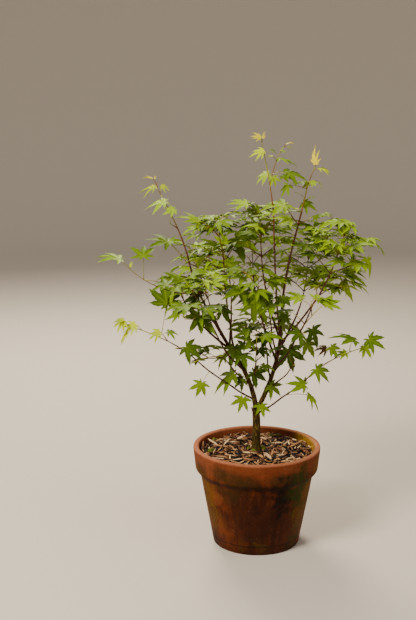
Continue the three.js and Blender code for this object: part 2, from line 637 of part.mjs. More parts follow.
function makeMulch() {
  const edge = innerRadius(MULCH.edge) - GAP;
  const low = POT.floor + GAP;
  const rings = MULCH.rings.map((share) => [share * edge, mulchHeight(share * edge)]);
  const profile = [[0, low], [innerRadius(low) - GAP, low], [edge, MULCH.edge], ...rings, [0, MULCH.middle]];
  const geometry = spin(profile, POT.sides);
  const random = seeded(MULCH.seed);
  roughen(geometry, profile.length, edge, random);
  let mulch = solidOf(geometry);
  for (let i = 0; i < MULCH.chips; i++) {
    // Chips lie along a spiral of the golden angle, even over the ring between the trunk's foot and the wall
    const turn = 2.4 * i + random();
    const out = between([2 * MULCH.calm, edge - MULCH.chip[0]], Math.sqrt((i + 0.5) / MULCH.chips));
    const place = new THREE.Vector3(out * Math.cos(turn), out * Math.sin(turn), mulchHeight(out));
    mulch = mulch.add(makeChip(place, random));
  }
  return largestBody(mulch);
}

addNode('pot', makePot(), 'terracotta');
addNode('mulch', makeMulch(), 'mulch');
const OLD_WOOD = ['trunk', 'left_limb', 'right_limb'];
for (const { name, solid } of limbs.values()) addNode(name, solid, OLD_WOOD.includes(name) ? 'bark' : 'shoot');
const crowns = MASSES.map(growStem);
for (const crown of crowns) growTwigs(crown, crowns);
for (const crown of crowns) addNode(crown.mass.name, crown.solid, 'leaf');

export default plant;
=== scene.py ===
# %% [markdown]
# # A young Japanese maple in a terracotta pot
#
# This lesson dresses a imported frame: a pot, its bark mulch, a forked trunk with its boughs, and masses of
# leaves. The frame gives each solid its place, so nothing here is fitted by eye. The trunk and boughs get
# real bark relief, and each plain mass of leaves is grown again by the same seeded rule, carried on to finer
# twigs, stalks and leaves.

# %% Load the frame
import math

import bpy
import numpy as np
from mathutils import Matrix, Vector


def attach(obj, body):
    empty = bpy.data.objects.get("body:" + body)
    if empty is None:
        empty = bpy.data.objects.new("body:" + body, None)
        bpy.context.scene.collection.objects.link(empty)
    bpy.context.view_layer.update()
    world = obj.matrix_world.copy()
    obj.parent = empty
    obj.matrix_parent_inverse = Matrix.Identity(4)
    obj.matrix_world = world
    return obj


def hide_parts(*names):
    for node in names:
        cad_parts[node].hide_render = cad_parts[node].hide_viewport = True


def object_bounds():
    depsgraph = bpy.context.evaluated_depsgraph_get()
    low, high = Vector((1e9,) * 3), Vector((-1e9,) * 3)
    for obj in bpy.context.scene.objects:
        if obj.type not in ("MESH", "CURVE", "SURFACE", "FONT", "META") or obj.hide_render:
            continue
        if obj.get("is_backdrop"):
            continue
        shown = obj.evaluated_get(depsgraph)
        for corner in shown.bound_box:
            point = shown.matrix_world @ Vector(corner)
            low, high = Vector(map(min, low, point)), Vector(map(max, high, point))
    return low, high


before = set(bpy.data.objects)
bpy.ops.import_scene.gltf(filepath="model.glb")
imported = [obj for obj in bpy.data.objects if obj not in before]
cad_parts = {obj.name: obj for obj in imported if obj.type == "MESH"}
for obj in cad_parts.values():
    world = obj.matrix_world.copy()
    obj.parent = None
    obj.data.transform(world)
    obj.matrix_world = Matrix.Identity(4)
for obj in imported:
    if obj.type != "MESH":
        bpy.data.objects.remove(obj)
cad_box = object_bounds()
MM = 0.001
print("frame:", len(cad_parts), "nodes, top at", round(cad_box[1].z, 3), "m")

# %% [markdown]
# The camera comes first. It stands 3 m in front of the plant at about chest height and looks a little down,
# which is where the photograph was taken from: the two rims of the pot show as ellipses of just that tilt.
# Two functions turn places in millimetres into the photograph's pixels and back, for the few things that can
# be told one by one in it.

# %% Camera
CAMERA_PLACE = (0.0, -2.972, 1.279)
CAMERA_TILT, CAMERA_TURN = 78.1, 2.59
CAMERA_LENS, SENSOR_WIDTH = 65.6, 36

camera_data = bpy.data.cameras.new("camera")
camera_data.lens = CAMERA_LENS
camera = bpy.data.objects.new("camera", camera_data)
camera.location = CAMERA_PLACE
camera.rotation_euler = (math.radians(CAMERA_TILT), 0, math.radians(CAMERA_TURN))
bpy.context.scene.collection.objects.link(camera)
bpy.context.scene.camera = camera

PIXELS = (416, 620)
CAMERA_FOCUS = CAMERA_LENS / SENSOR_WIDTH * PIXELS[1]
tilt, turn = math.radians(90 - CAMERA_TILT), math.radians(CAMERA_TURN)
CAMERA_RIGHT = np.array([math.cos(turn), math.sin(turn), 0])
CAMERA_AHEAD = np.array([-math.sin(turn) * math.cos(tilt), math.cos(turn) * math.cos(tilt), -math.sin(tilt)])
CAMERA_UP = np.cross(CAMERA_RIGHT, CAMERA_AHEAD)
CAMERA_POINT = np.array(CAMERA_PLACE) / MM


def pixel_of(points):
    """Where the photograph shows points: (column, row), from the ratio of sideways and upward to ahead."""
    way = points - CAMERA_POINT
    far = way @ CAMERA_AHEAD
    column = PIXELS[0] / 2 + CAMERA_FOCUS * (way @ CAMERA_RIGHT) / far
    return np.stack([column, PIXELS[1] / 2 - CAMERA_FOCUS * (way @ CAMERA_UP) / far], axis=-1)


def place_at(pixel, value, axis=1):
    """The place that shows at a pixel and has this value on one axis: depth y, or height z for axis 2."""
    column, row = pixel[0] - PIXELS[0] / 2, PIXELS[1] / 2 - pixel[1]
    ray = CAMERA_AHEAD * CAMERA_FOCUS + CAMERA_RIGHT * column + CAMERA_UP * row
    return CAMERA_POINT + ray * (value - CAMERA_POINT[axis]) / ray[axis]


# %% [markdown]
# Lights are soft and plain, as under an open, lightly clouded sky: one broad light from the upper left in
# front, a weaker one from the right, one from behind that rims the leaves, and a pale sky all round.

# %% Lights and sky
LIGHTS = {
    # place in metres, watts, size in metres, colour
    "key": ((-1.9, -2.3, 3.0), 215, 1.3, (1.0, 0.95, 0.86)),
    "fill": ((2.8, -1.6, 1.6), 30, 2.2, (0.94, 0.97, 1.0)),
    "rim": ((-0.9, 2.6, 2.6), 150, 1.4, (1.0, 0.92, 0.78)),
}
SKY_COLOUR, SKY_STRENGTH = (1.0, 0.97, 0.93, 1.0), 0.36
AIM = np.array([0.0, 0.0, 0.6])


def aimed(place):
    """The turn that points a light's -Z at the plant's middle, by the two angles of that way."""
    way = AIM - np.array(place)
    flat = math.hypot(way[0], way[1])
    return (math.atan2(flat, -way[2]), 0, math.atan2(-way[0], way[1]))


for name, (place, watts, size, colour) in LIGHTS.items():
    lamp = bpy.data.lights.new(name, "AREA")
    lamp.energy, lamp.size, lamp.color = watts, size, colour
    holder = bpy.data.objects.new(name, lamp)
    holder.location, holder.rotation_euler = place, aimed(place)
    bpy.context.scene.collection.objects.link(holder)

world = bpy.data.worlds.new("sky")
world.use_nodes = True
world.node_tree.nodes["Background"].inputs["Color"].default_value = SKY_COLOUR
world.node_tree.nodes["Background"].inputs["Strength"].default_value = SKY_STRENGTH
bpy.context.scene.world = world

# %% [markdown]
# A finish here is one Principled shader and the few nodes that feed it. Blender's node editor does this by
# hand. In code, a small class with short methods keeps each material readable. Every pattern reads Object
# coordinates or an attribute of the mesh, so it stays put when the camera moves. Mottling and stains are
# painted one over another, each by its own masks: numbers from 0 to 1 that are multiplied.


# %% Finishes
def srgb(red, green, blue):
    """A colour given as on a screen, 0 to 255, turned into the linear light that shaders add up."""
    shares = np.array([red, green, blue]) / 255
    linear = np.where(shares <= 0.04045, shares / 12.92, ((shares + 0.055) / 1.055) ** 2.4)
    return (*map(float, linear), 1.0)


class Finish:
    """A material: one Principled shader, and short ways to add the nodes that feed it."""

    def __init__(self, name, roughness, specular):
        """A new material with this roughness and this much sheen."""
        self.material = bpy.data.materials.new(name)
        self.material.use_nodes = True
        self.tree = self.material.node_tree
        self.shader = self.tree.nodes["Principled BSDF"]
        self.put(roughness, "Roughness")
        self.put(specular, "Specular IOR Level")
        self.place = self.node("ShaderNodeTexCoord").outputs["Object"]

    def feed(self, socket, value):
        """Gives a socket a number or a colour, or links another node's output to it."""
        if isinstance(value, bpy.types.NodeSocket):
            self.tree.links.new(value, socket)
        else:
            socket.default_value = value

    def node(self, kind, inputs=(), **settings):
        """A node with these settings; each of its inputs is a number, a colour or another node's output."""
        made = self.tree.nodes.new(kind)
        for key, value in settings.items():
            setattr(made, key, value)
        for key, value in dict(inputs).items():
            self.feed(made.inputs[key], value)
        return made

    def stretched(self, scale):
        """Object coordinates, scaled by three numbers: a small one draws the pattern out along that axis."""
        inputs = {"Vector": self.place, "Scale": scale}
        return self.node("ShaderNodeMapping", inputs).outputs["Vector"]

    def noise(self, scale, detail=4, rough=0.55, stretch=(1, 1, 1)):
        """Fractal noise of about 0.3 to 0.7, with this many lumps to the metre."""
        inputs = {"Vector": self.stretched(stretch), "Scale": scale, "Detail": detail, "Roughness": rough}
        return self.node("ShaderNodeTexNoise", inputs).outputs["Fac"]

    def ramp(self, value, stops):
        """A value turned into a colour between the nearest two of some (value, colour) stops."""
        made = self.node("ShaderNodeValToRGB", {"Fac": value})
        elements = made.color_ramp.elements
        while len(elements) < len(stops):
            elements.new(0.5)
        for element, (position, colour) in zip(elements, stops):
            element.position, element.color = position, colour
        return made.outputs["Color"]

    def between(self, value, low, high):
        """A value turned into 0 below low and 1 above high, with soft ends; low may be the larger one."""
        inputs = {"Value": value, "From Min": low, "From Max": high}
        return self.node("ShaderNodeMapRange", inputs, interpolation_type="SMOOTHSTEP").outputs["Result"]

    def sum(self, kind, first, second):
        """Arithmetic of two values: ADD, MULTIPLY, POWER and so on."""
        return self.node("ShaderNodeMath", {0: first, 1: second}, operation=kind).outputs["Value"]

    def mix(self, share, first, second, kind="MIX"):
        """The first colour, with the second one mixed in by a share from 0 to 1."""
        inputs = {0: share, 6: first, 7: second}
        return self.node("ShaderNodeMix", inputs, data_type="RGBA", blend_type=kind).outputs[2]

    def times(self, first, *others):
        """Values multiplied one after another."""
        for other in others:
            first = self.sum("MULTIPLY", first, other)
        return first

    def paint(self, colour, *masks):
        """Mixes a colour over what is painted so far, by its masks multiplied; the last is a plain share."""
        self.painted = self.mix(self.times(*masks), self.painted, colour)

    def height(self):
        """How high a point is, in metres."""
        return self.node("ShaderNodeSeparateXYZ", {"Vector": self.place}).outputs["Z"]

    def near(self, point, radius, blur, wobble=0.0, scale=30, stretch=(1, 1, 1)):
        """1 within a radius of a point in metres, 0 beyond the blur, the edge moved about by noise."""
        scaled = self.stretched(stretch)
        centre = [a * b for a, b in zip(point, stretch)]
        far = self.node("ShaderNodeVectorMath", {0: scaled, 1: centre}, operation="DISTANCE").outputs["Value"]
        uneven = self.sum("MULTIPLY", self.sum("SUBTRACT", self.noise(scale, 5), 0.5), 2 * wobble)
        return self.between(self.sum("ADD", far, uneven), radius + blur, radius)

    def attribute(self, name):
        """A number that the mesh carries at each of its points."""
        return self.node("ShaderNodeAttribute", attribute_name=name).outputs["Fac"]

    def colour(self, value):
        """Sets the base colour."""
        self.put(value, "Base Color")

    def mottled(self, scale, detail, *stops):
        """Sets the base colour to noise through a ramp of (value, colour) stops."""
        self.colour(self.ramp(self.noise(scale, detail), stops))

    def put(self, value, socket):
        """Sets one of the shader's own sockets."""
        self.feed(self.shader.inputs[socket], value)

    def bump(self, height, distance, strength=1.0):
        """Light and shade as if the surface were raised by height times the distance in metres."""
        inputs = {"Height": height, "Distance": distance, "Strength": strength}
        self.put(self.node("ShaderNodeBump", inputs).outputs["Normal"], "Normal")


floor_finish = Finish("pale_floor", roughness=0.85, specular=0.2)
floor_finish.colour(srgb(204, 192, 176))

# %% [markdown]
# Meshes are worked out with numpy as whole arrays: a row of shapes, each a grid of points, and one shape's
# faces that are repeated for all of them. A heap gathers such shapes and turns into one mesh at the end.


# %% Shapes from arrays
class Heap:
    """Points and faces of many small shapes that become one mesh, with numbers that each point carries."""

    def __init__(self):
        """An empty heap."""
        self.points, self.faces, self.marks, self.count = [], [], [], 0

    def add(self, points, faces, **marks):
        """points: (shapes, n, 3) in millimetres. faces: arrays of one shape's corners, by how many corners
        they have. Each mark is one number, or (shapes,), or (shapes, n), and is spread over the points."""
        shapes, size = points.shape[:2]
        first = self.count + size * np.arange(shapes)
        for rows in faces:
            corners = rows[None] + first[:, None, None]
            self.faces.append(corners.reshape(-1, rows.shape[1]))
        spread = {}
        for name, value in marks.items():
            value = np.asarray(value, float)
            value = value[:, None] if value.ndim == 1 else value
            spread[name] = np.broadcast_to(value, (shapes, size)).ravel()
        self.points.append(points.reshape(-1, 3))
        self.marks.append(spread)
        self.count += shapes * size

    def mesh(self, name, finish, smooth=True):
        """The heap as one object at the origin, in metres."""
        faces = [row for rows in self.faces for row in rows.tolist()]
        data = bpy.data.meshes.new(name)
        data.from_pydata((np.concatenate(self.points) * MM).tolist(), [], faces)
        for mark in self.marks[0]:
            values = np.concatenate([spread[mark] for spread in self.marks]).astype(np.float32)
            data.attributes.new(mark, "FLOAT", "POINT").data.foreach_set("value", values)
        data.polygons.foreach_set("use_smooth", [smooth] * len(data.polygons))
        data.materials.append(finish.material)
        made = bpy.data.objects.new(name, data)
        bpy.context.scene.collection.objects.link(made)
        triangles = sum(len(row) - 2 for row in faces)
        print(name, "has", triangles, "triangles")
        return made


def grid_faces(rows, columns):
    """The four corners of each cell of a grid of points, closed from the last column to the first."""
    row, column = np.meshgrid(np.arange(rows - 1), np.arange(columns), indexing="ij")
    here, after = row * columns + column, row * columns + (column + 1) % columns
    return np.stack([here, after, after + columns, here + columns], axis=-1).reshape(-1, 4)


def circle(sides):
    """Points of a circle of radius 1: (cos a, sin a) for evenly spaced angles a."""
    turn = 2 * np.pi * np.arange(sides) / sides
    return np.stack([np.cos(turn), np.sin(turn)], axis=-1)


def levels(profile, sides):
    """Rings round the upright axis: point (r, z) of a profile at angle a is (r cos a, r sin a, z)."""
    flat = profile[:, 0, None, None] * circle(sides)
    rise = np.broadcast_to(profile[:, 1, None, None], (*flat.shape[:2], 1))
    return np.concatenate([flat, rise], axis=-1)


def unit(ways):
    """Each way divided by its length."""
    return ways / np.linalg.norm(ways, axis=-1, keepdims=True)


def tubes(centres, radii, sides):
    """Closed tubes along many lines. centres: (tubes, rings, 3), radii: (tubes, rings). A point is centre +
    radius (cos a side + sin a third), where side and third stand square to the line's own way."""
    along = unit(np.gradient(centres, axis=1))
    chord = np.abs(centres[:, -1] - centres[:, 0])
    axis = np.eye(3)[chord.argmin(axis=1)][:, None]
    side = unit(np.cross(axis, along))
    third = np.cross(along, side)
    cos, sin = circle(sides).T[..., None]
    ring = cos * side[:, :, None] + sin * third[:, :, None]
    points = centres[:, :, None] + radii[..., None, None] * ring
    rings = centres.shape[1]
    ends = [np.arange(sides)[::-1][None], np.arange(sides)[None] + (rings - 1) * sides]
    return points.reshape(len(centres), -1, 3), [grid_faces(rings, sides), *ends]


def hashed(cells, seed):
    """A number from 0 to 1 for each cell of a lattice: its whole numbers multiplied and folded over."""
    x, y, z = (cells[..., i].astype(np.int64) for i in range(3))
    mixed = (x * 374761393 + y * 668265263 + z * 1274126177 + seed * 144269504) & 0xFFFFFFFF
    mixed = ((mixed ^ (mixed >> 13)) * 1103515245) & 0xFFFFFFFF
    return ((mixed ^ (mixed >> 16)) & 0xFFFF) / 0xFFFF


def lumps(points, sizes, seed):
    """Smooth noise from -1 to 1: numbers at the corners of cells of these sizes, blended by 3t² - 2t³."""
    spots = points / np.asarray(sizes, float)
    low = np.floor(spots)
    share = spots - low
    share = share * share * (3 - 2 * share)
    total = 0
    for corner in np.ndindex(2, 2, 2):
        weight = np.prod(np.where(corner, share, 1 - share), axis=-1)
        total = total + weight * hashed(low + corner, seed)
    return 2 * total - 1


def stand(piece, slot, *nodes):
    """Puts the piece on the one body and hides the frame's solids it stands in for. The slot is not used."""
    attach(piece, "root")
    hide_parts(*nodes)


# %% [markdown]
# A flat floor would end in a hard horizon behind the crown. A photographer's sweep curves up instead, so
# there is no line. This one is round, so that it serves from every side: a disc whose rim rises smoothly,
# far from the plant.

# %% Floor
SWEEP = {"flat": 5.2, "rise": 3.4, "high": 4.6, "rings": 30, "sides": 96}
INNER_RINGS = [[0.6, 0], [2.0, 0], [3.8, 0]]
quarter = np.linspace(0, 1, SWEEP["rings"]) * np.pi / 2
rising = [SWEEP["flat"] + SWEEP["rise"] * np.sin(quarter), SWEEP["high"] * (1 - np.cos(quarter))]
sweep = levels(np.concatenate([INNER_RINGS, np.stack(rising, axis=1)])[::-1], SWEEP["sides"])
middle_ring = (len(sweep) - 1) * SWEEP["sides"] + np.arange(SWEEP["sides"])
floor = Heap()
floor.add(sweep.reshape(1, -1, 3) / MM, [grid_faces(*sweep.shape[:2]), middle_ring[None]])
floor.mesh("floor", floor_finish)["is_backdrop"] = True

# %% [markdown]
# The pot is thrown or pressed clay, so it is a profile turned about an axis. A lathe or Blender's Screw
# modifier would do it. Here the profile is walked at an even pace, its corners are worn round by averaging
# each point with its neighbours, and the wall is given the slight lumps, the foot line and the chipped lip
# of an old clay pot.

# %% Pot shape
POT = {
    "height": 275, "foot": 119, "body_top": 155, "body_top_at": 196, "band_foot": 169, "band_foot_at": 214,
    "rim": 175, "wall": 15, "inner_foot": 108, "floor": 15, "ease": 4,
}
POT_PACE, POT_ROUND, POT_SIDES = 3.6, 5.5, 160
DRAINS, DRAIN_RADIUS, DRAIN_CIRCLE = 3, 8.0, 45
CLAY_LUMPS, LUMP_SIZES = 0.55, (46, 46, 38)
CLAY_GRAIN, GRAIN_SIZES = 0.18, (7, 7, 5)
FOOT_LINE_AT, FOOT_LINE_DEPTH, FOOT_LINE_WIDTH = 25, 0.9, 2.6
LIP_WEAR, LIP_SIZES, LIP_REACH = 0.7, (14, 14, 14), 6
WALL_THINNER, WALL_FROM, WALL_OVER = 0.3, 4, 8
SAMPLES = 4


def inner_radius(height):
    """The inside of the pot, one straight cone from its floor to its mouth."""
    share = (height - POT["floor"]) / (POT["height"] - POT["floor"])
    return POT["inner_foot"] + (POT["rim"] - POT["wall"] - POT["inner_foot"]) * share


def walked(profile, pace, window):
    """A profile of [radius, height] points walked in even steps. It is sampled finely, then each sample
    becomes the mean of those within half a window of it, which rounds the corners and leaves straight
    stretches alone."""
    profile = np.array(profile, float)
    lengths = np.append(0, np.cumsum(np.linalg.norm(np.diff(profile, axis=0), axis=1)))
    fine = np.linspace(0, lengths[-1], int(lengths[-1] * SAMPLES))
    sampled = np.stack([np.interp(fine, lengths, profile[:, i]) for i in range(2)], axis=1)
    width = int(window * SAMPLES) | 1
    padded = np.pad(sampled, ((width // 2, width // 2), (0, 0)), mode="edge")
    sums = np.cumsum(np.vstack([np.zeros((1, 2)), padded]), axis=0)
    kept = np.linspace(0, len(fine) - 1, int(lengths[-1] / pace)).astype(int)
    return ((sums[width:] - sums[:-width]) / width)[kept]


def turned(profile, sides):
    """A closed shape from a profile: its two ends on the axis are one point each, with a fan of faces round
    it, and between them are rings."""
    rings = levels(profile[1:-1], sides)
    points = rings.reshape(-1, 3)
    ends = np.array([[0, 0, profile[0, 1]], [0, 0, profile[-1, 1]]])
    low, last = len(points), len(points) - sides
    around = np.arange(sides)
    after = (around + 1) % sides
    fans = [np.stack([np.full(sides, low), after, around], axis=1),
            np.stack([np.full(sides, low + 1), last + around, last + after], axis=1)]
    return np.concatenate([points, ends]), [grid_faces(len(rings), sides), *fans]


def wear_clay(points):
    """Clay isn't true: broad lumps and a fine grain push the wall in and out along its own radius, the foot
    line is a shallow groove round the base, and the lip is worn lower where its noise is high. Undersides
    stay flat."""
    radius = np.linalg.norm(points[:, :2], axis=1, keepdims=True)
    out = points * [1, 1, 0] / np.maximum(radius, 1)
    z = points[:, 2]
    wall = np.clip((z - WALL_FROM) / WALL_OVER, 0, 1) * (radius[:, 0] > POT["inner_foot"] * 0.9)
    push = CLAY_LUMPS * lumps(points, LUMP_SIZES, 3) + CLAY_GRAIN * lumps(points, GRAIN_SIZES, 4)
    groove = FOOT_LINE_DEPTH * np.exp(-(((z - FOOT_LINE_AT) / FOOT_LINE_WIDTH) ** 2))
    groove = groove * (radius[:, 0] > POT["foot"] - 2)
    lip = np.clip((z - POT["height"] + LIP_REACH) / LIP_REACH, 0, 1)
    lip = lip * LIP_WEAR * (0.5 + 0.5 * lumps(points, LIP_SIZES, 5))
    return points + out * (wall * push - groove - WALL_THINNER)[:, None] - [0, 0, 1] * lip[:, None]


p = POT
pot_profile = [
    [0, 0], [p["foot"], 0], [p["body_top"], p["body_top_at"]],
    [p["body_top"] + p["ease"], p["body_top_at"] + p["ease"]],
    [p["band_foot"] - 1, p["band_foot_at"] - 3], [p["band_foot"], p["band_foot_at"] + 1],
    [p["rim"], p["height"] - 8], [p["rim"], p["height"]], [p["rim"] - p["wall"] + 1, p["height"]],
    [p["rim"] - p["wall"], p["height"] - 5], [p["inner_foot"], p["floor"]], [0, p["floor"]],
]
pot_points, pot_faces = turned(walked(pot_profile, POT_PACE, POT_ROUND), POT_SIDES)
pot_heap = Heap()
pot_heap.add(wear_clay(pot_points)[None], pot_faces)

# %% [markdown]
# Years of watering show on the clay. It is redder on the rim, brown to nearly black in the middle of the
# body, ochre with algae at both sides and inside the rim, and green with moss on the right. Each stain is its
# own soft mask: a height, a side or a distance from one spot, with its edge broken up by noise. Shade is
# painted into the colour as well: a dark line of painted shadow runs round under the overhanging band,
# painted shade darkens the groove of the foot line, a small dark mark is the painted shade of a narrow gap
# where the band meets the body at the front, and the top of the lip is painted paler as a highlight.

# %% Terracotta finish
CLAY_RIM, CLAY_BAND, CLAY_BODY = srgb(117, 59, 31), srgb(102, 47, 20), srgb(84, 35, 7)
CLAY_LIT, CLAY_DARK, CLAY_DAMP = srgb(106, 48, 13), srgb(40, 14, 2), srgb(44, 17, 4)
# the darkest colour serves both real black stains and the painted shade under the band, in the foot groove and
# in a gap
CLAY_WORN, LIP_HIGHLIGHT, LIME, SOOT_AND_SHADE = srgb(142, 70, 34), srgb(178, 112, 76), srgb(190, 146, 106), srgb(13, 8, 3)
ALGAE, ALGAE_PALE, MOSS, OLIVE = srgb(94, 64, 4), srgb(158, 122, 26), srgb(36, 46, 3), srgb(50, 32, 4)
STAINS = [
    # colour, centre, radius and blur in millimetres, wobble of its edge, share
    (CLAY_DARK, (-5, -145, 115), 46, 60, 0.05, 0.75),
    (CLAY_DARK, (62, -120, 50), 45, 60, 0.05, 0.65),
    (OLIVE, (-80, -125, 178), 18, 42, 0.05, 0.60),
    (CLAY_WORN, (-113, -98, 160), 2, 40, 0.05, 0.34),
    (ALGAE, (-142, -55, 180), 24, 50, 0.06, 0.90),
    (ALGAE, (-122, -60, 105), 18, 46, 0.05, 0.75),
    (ALGAE, (140, -60, 144), 38, 50, 0.06, 0.90),
    (ALGAE, (168, -42, 246), 16, 30, 0.05, 0.80),
    (ALGAE_PALE, (150, 56, 264), 40, 50, 0.05, 0.95),
    (OLIVE, (-151, -85, 230), 10, 36, 0.03, 0.60),
    (OLIVE, (-98, -141, 238), 10, 36, 0.03, 0.75),
    (OLIVE, (-60, -161, 228), 14, 36, 0.03, 0.80),
    (OLIVE, (-22, -170, 224), 10, 34, 0.03, 0.70),
    (OLIVE, (60, -160, 226), 10, 34, 0.03, 0.70),
    (OLIVE, (96, -143, 228), 12, 34, 0.03, 0.80),
    (SOOT_AND_SHADE, (0, -143, 142), 4, 18, 0.03, 0.60),
    (SOOT_AND_SHADE, (74, -138, 198), 14, 30, 0.06, 0.95),
    (SOOT_AND_SHADE, (90, -120, 176), 16, 30, 0.06, 0.95),
    (SOOT_AND_SHADE, (76, -122, 150), 8, 24, 0.05, 0.85),
    (MOSS, (118, -126, 237), 8, 30, 0.06, 0.95),
    (MOSS, (110, -110, 196), 12, 28, 0.06, 0.95),
    (MOSS, (124, -94, 186), 12, 28, 0.06, 0.90),
    (MOSS, (112, -94, 160), 10, 26, 0.06, 0.90),
    (MOSS, (106, -70, 26), 10, 28, 0.05, 0.80),
    (MOSS, (20, -128, 20), 3, 20, 0.04, 0.40),
    (ALGAE, (16, -129, 22), 2, 18, 0.05, 0.40),
    (ALGAE, (-40, -121, 22), 2, 20, 0.05, 0.40),
]
STAIN_GRAIN, STAIN_FLAT, RUN_TALL = 42, (1, 1, 0.8), (1, 1, 1.5)
# the pixel, depth, size and flattening of a small mark of painted shade in a gap under the band
SLOT_PIXEL, SLOT_DEPTH, SLOT_SIZE, SLOT_FLAT = (259.8, 491.5), -158, (0.0085, 0.002), (1, 1, 6)

clay = Finish("terracotta", roughness=0.88, specular=0.12)
high, broad, fine = clay.height(), clay.noise(11, 5, 0.6), clay.noise(150, 6, 0.65)
from_axis = clay.node("ShaderNodeVectorMath", {0: clay.stretched((1, 1, 0))}, operation="LENGTH")
inner_side = clay.between(from_axis.outputs["Value"], 0.170, 0.162)
broken_up = clay.between(clay.noise(120, 6, 0.75), 0.44, 0.56)
broken_up = clay.sum("ADD", 0.35, clay.times(broken_up, 0.65))
on_rim = clay.between(clay.sum("ADD", high, clay.times(broad, 0.05)), 0.226, 0.276)
rim_colour = clay.mix(clay.between(broad, 0.4, 0.62), CLAY_BAND, CLAY_RIM)
body_colour = clay.ramp(broad, [(0.34, CLAY_DARK), (0.47, CLAY_BODY), (0.66, CLAY_LIT)])
clay.painted = clay.mix(on_rim, body_colour, rim_colour)
streaks = clay.between(clay.noise(46, 4, 0.6, stretch=(1, 1, 0.09)), 0.47, 0.6)
clay.paint(CLAY_DARK, streaks, clay.between(high, 0.26, 0.19), 0.6)
for colour, spot, radius, blur, wobble, share in STAINS:
    drawn = RUN_TALL if colour == OLIVE else STAIN_FLAT
    masks = [clay.near(np.array(spot) * MM, radius * MM, blur * MM, wobble, STAIN_GRAIN, drawn)]
    if colour == ALGAE_PALE:
        masks.append(inner_side)
    if colour in (MOSS, SOOT_AND_SHADE, ALGAE, ALGAE_PALE):
        masks.append(broken_up)
    clay.paint(colour, *masks, share)
low_down = clay.between(clay.sum("ADD", high, clay.times(broad, 0.06)), 0.066, 0.022)
clay.paint(CLAY_DAMP, low_down, 0.45)
# painted shadow: a dark line round the pot under the overhanging band
clay.paint(SOOT_AND_SHADE, clay.between(high, 0.217, 0.209), clay.between(high, 0.194, 0.204), 0.5)
# painted shade in the groove of the foot line, broken up by noise
clay.paint(SOOT_AND_SHADE, clay.between(high, 0.0285, 0.0255), clay.between(high, 0.0205, 0.0245), broken_up, 0.75)
# painted shade of the narrow gap where the band meets the body at the front
clay.paint(SOOT_AND_SHADE, clay.near(place_at(SLOT_PIXEL, SLOT_DEPTH) * MM, *SLOT_SIZE, stretch=SLOT_FLAT), 0.85)
# painted highlight along the top of the lip
clay.paint(LIP_HIGHLIGHT, clay.between(high, 0.268, 0.2742), 0.55)
clay.paint(LIME, clay.between(fine, 0.62, 0.74), 0.20)
clay.paint(CLAY_DARK, clay.between(fine, 0.44, 0.30), 0.65)
clay.colour(clay.painted)
damp = clay.between(high, 0.16, 0.03)
clay.put(clay.sum("SUBTRACT", 0.86, clay.times(damp, 0.2)), "Roughness")
throwing_rings = clay.noise(60, 3, stretch=(0.15, 0.15, 5))
clay.bump(clay.sum("ADD", fine, clay.times(throwing_rings, 0.6)), 0.0018, 0.8)

# %% [markdown]
# The three drain holes in the underside are cut by a Boolean, because a turned profile can't have them. The
# cutters are tubes, removed once the cut is applied.


# %% Pot with its drain holes
def applied(piece, kind, **settings):
    """The piece with one modifier of this kind applied: the evaluated mesh takes the place of its own."""
    modifier = piece.modifiers.new(kind.lower(), kind)
    for key, value in settings.items():
        setattr(modifier, key, value)
    seen = piece.evaluated_get(bpy.context.evaluated_depsgraph_get())
    changed = bpy.data.meshes.new_from_object(seen)
    piece.modifiers.clear()
    piece.data = changed
    return piece


DRAIN_HEIGHTS, DRAIN_SIDES = (-9, 3, 30), 24
drain_ring = DRAIN_CIRCLE * circle(DRAINS)
drain_lines = np.stack([np.insert(drain_ring, 2, height, axis=1) for height in DRAIN_HEIGHTS], axis=1)
drain_heap = Heap()
drain_heap.add(*tubes(drain_lines, np.full((DRAINS, len(DRAIN_HEIGHTS)), DRAIN_RADIUS), DRAIN_SIDES))
drain_cutter = drain_heap.mesh("drain_cutter", clay)
pot = pot_heap.mesh("clay_pot", clay)
applied(pot, "BOOLEAN", object=drain_cutter, operation="DIFFERENCE", solver="EXACT")
bpy.data.objects.remove(drain_cutter)
stand(pot, "terracotta", "pot")

# %% [markdown]
# The filling is dark potting soil with a thick layer of bark mulch on it: long slivers, thumb-sized chunks
# and crumbs, mid-brown, some pale and freshly torn. A texture would lie flat, so every chip is a small
# closed shape of 14 faces, made by the hundred from arrays and sorted into kinds by colour. The few that
# stand out in the photograph are laid one by one, by the pixels of their two ends. The gaps between the
# chips carry painted shade as well as dark soil: the soil is nearly black, and the crumbs, which lie lowest,
# are mostly of the dark kind.

# %% Soil and chips
SOIL = {"edge": 250, "middle": 256, "rough": 2.6, "low": 15.3, "sides": 96, "pace": 4.0}
CHIP_SHAPES = {
    # how many, shortest and longest, narrowest and widest, thinnest and thickest, lift off the soil
    "crumbs": (460, (4, 11), (1.8, 4.2), (1.4, 3.0), (0.3, 3.5)),
    "chunks": (70, (12, 22), (4.0, 7.5), (1.8, 3.4), (3.0, 8.0)),
    "slivers": (560, (12, 34), (1.6, 3.0), (1.4, 2.6), (3.0, 12.5)),
}
GOLDEN_TURN = np.pi * (3 - np.sqrt(5))
TRUNK_CLEAR = 13.0


def soil_height(radius):
    """The soil is highest at the trunk and falls to the wall with the square of the distance."""
    return SOIL["middle"] + (SOIL["edge"] - SOIL["middle"]) * (radius / inner_radius(SOIL["edge"])) ** 2


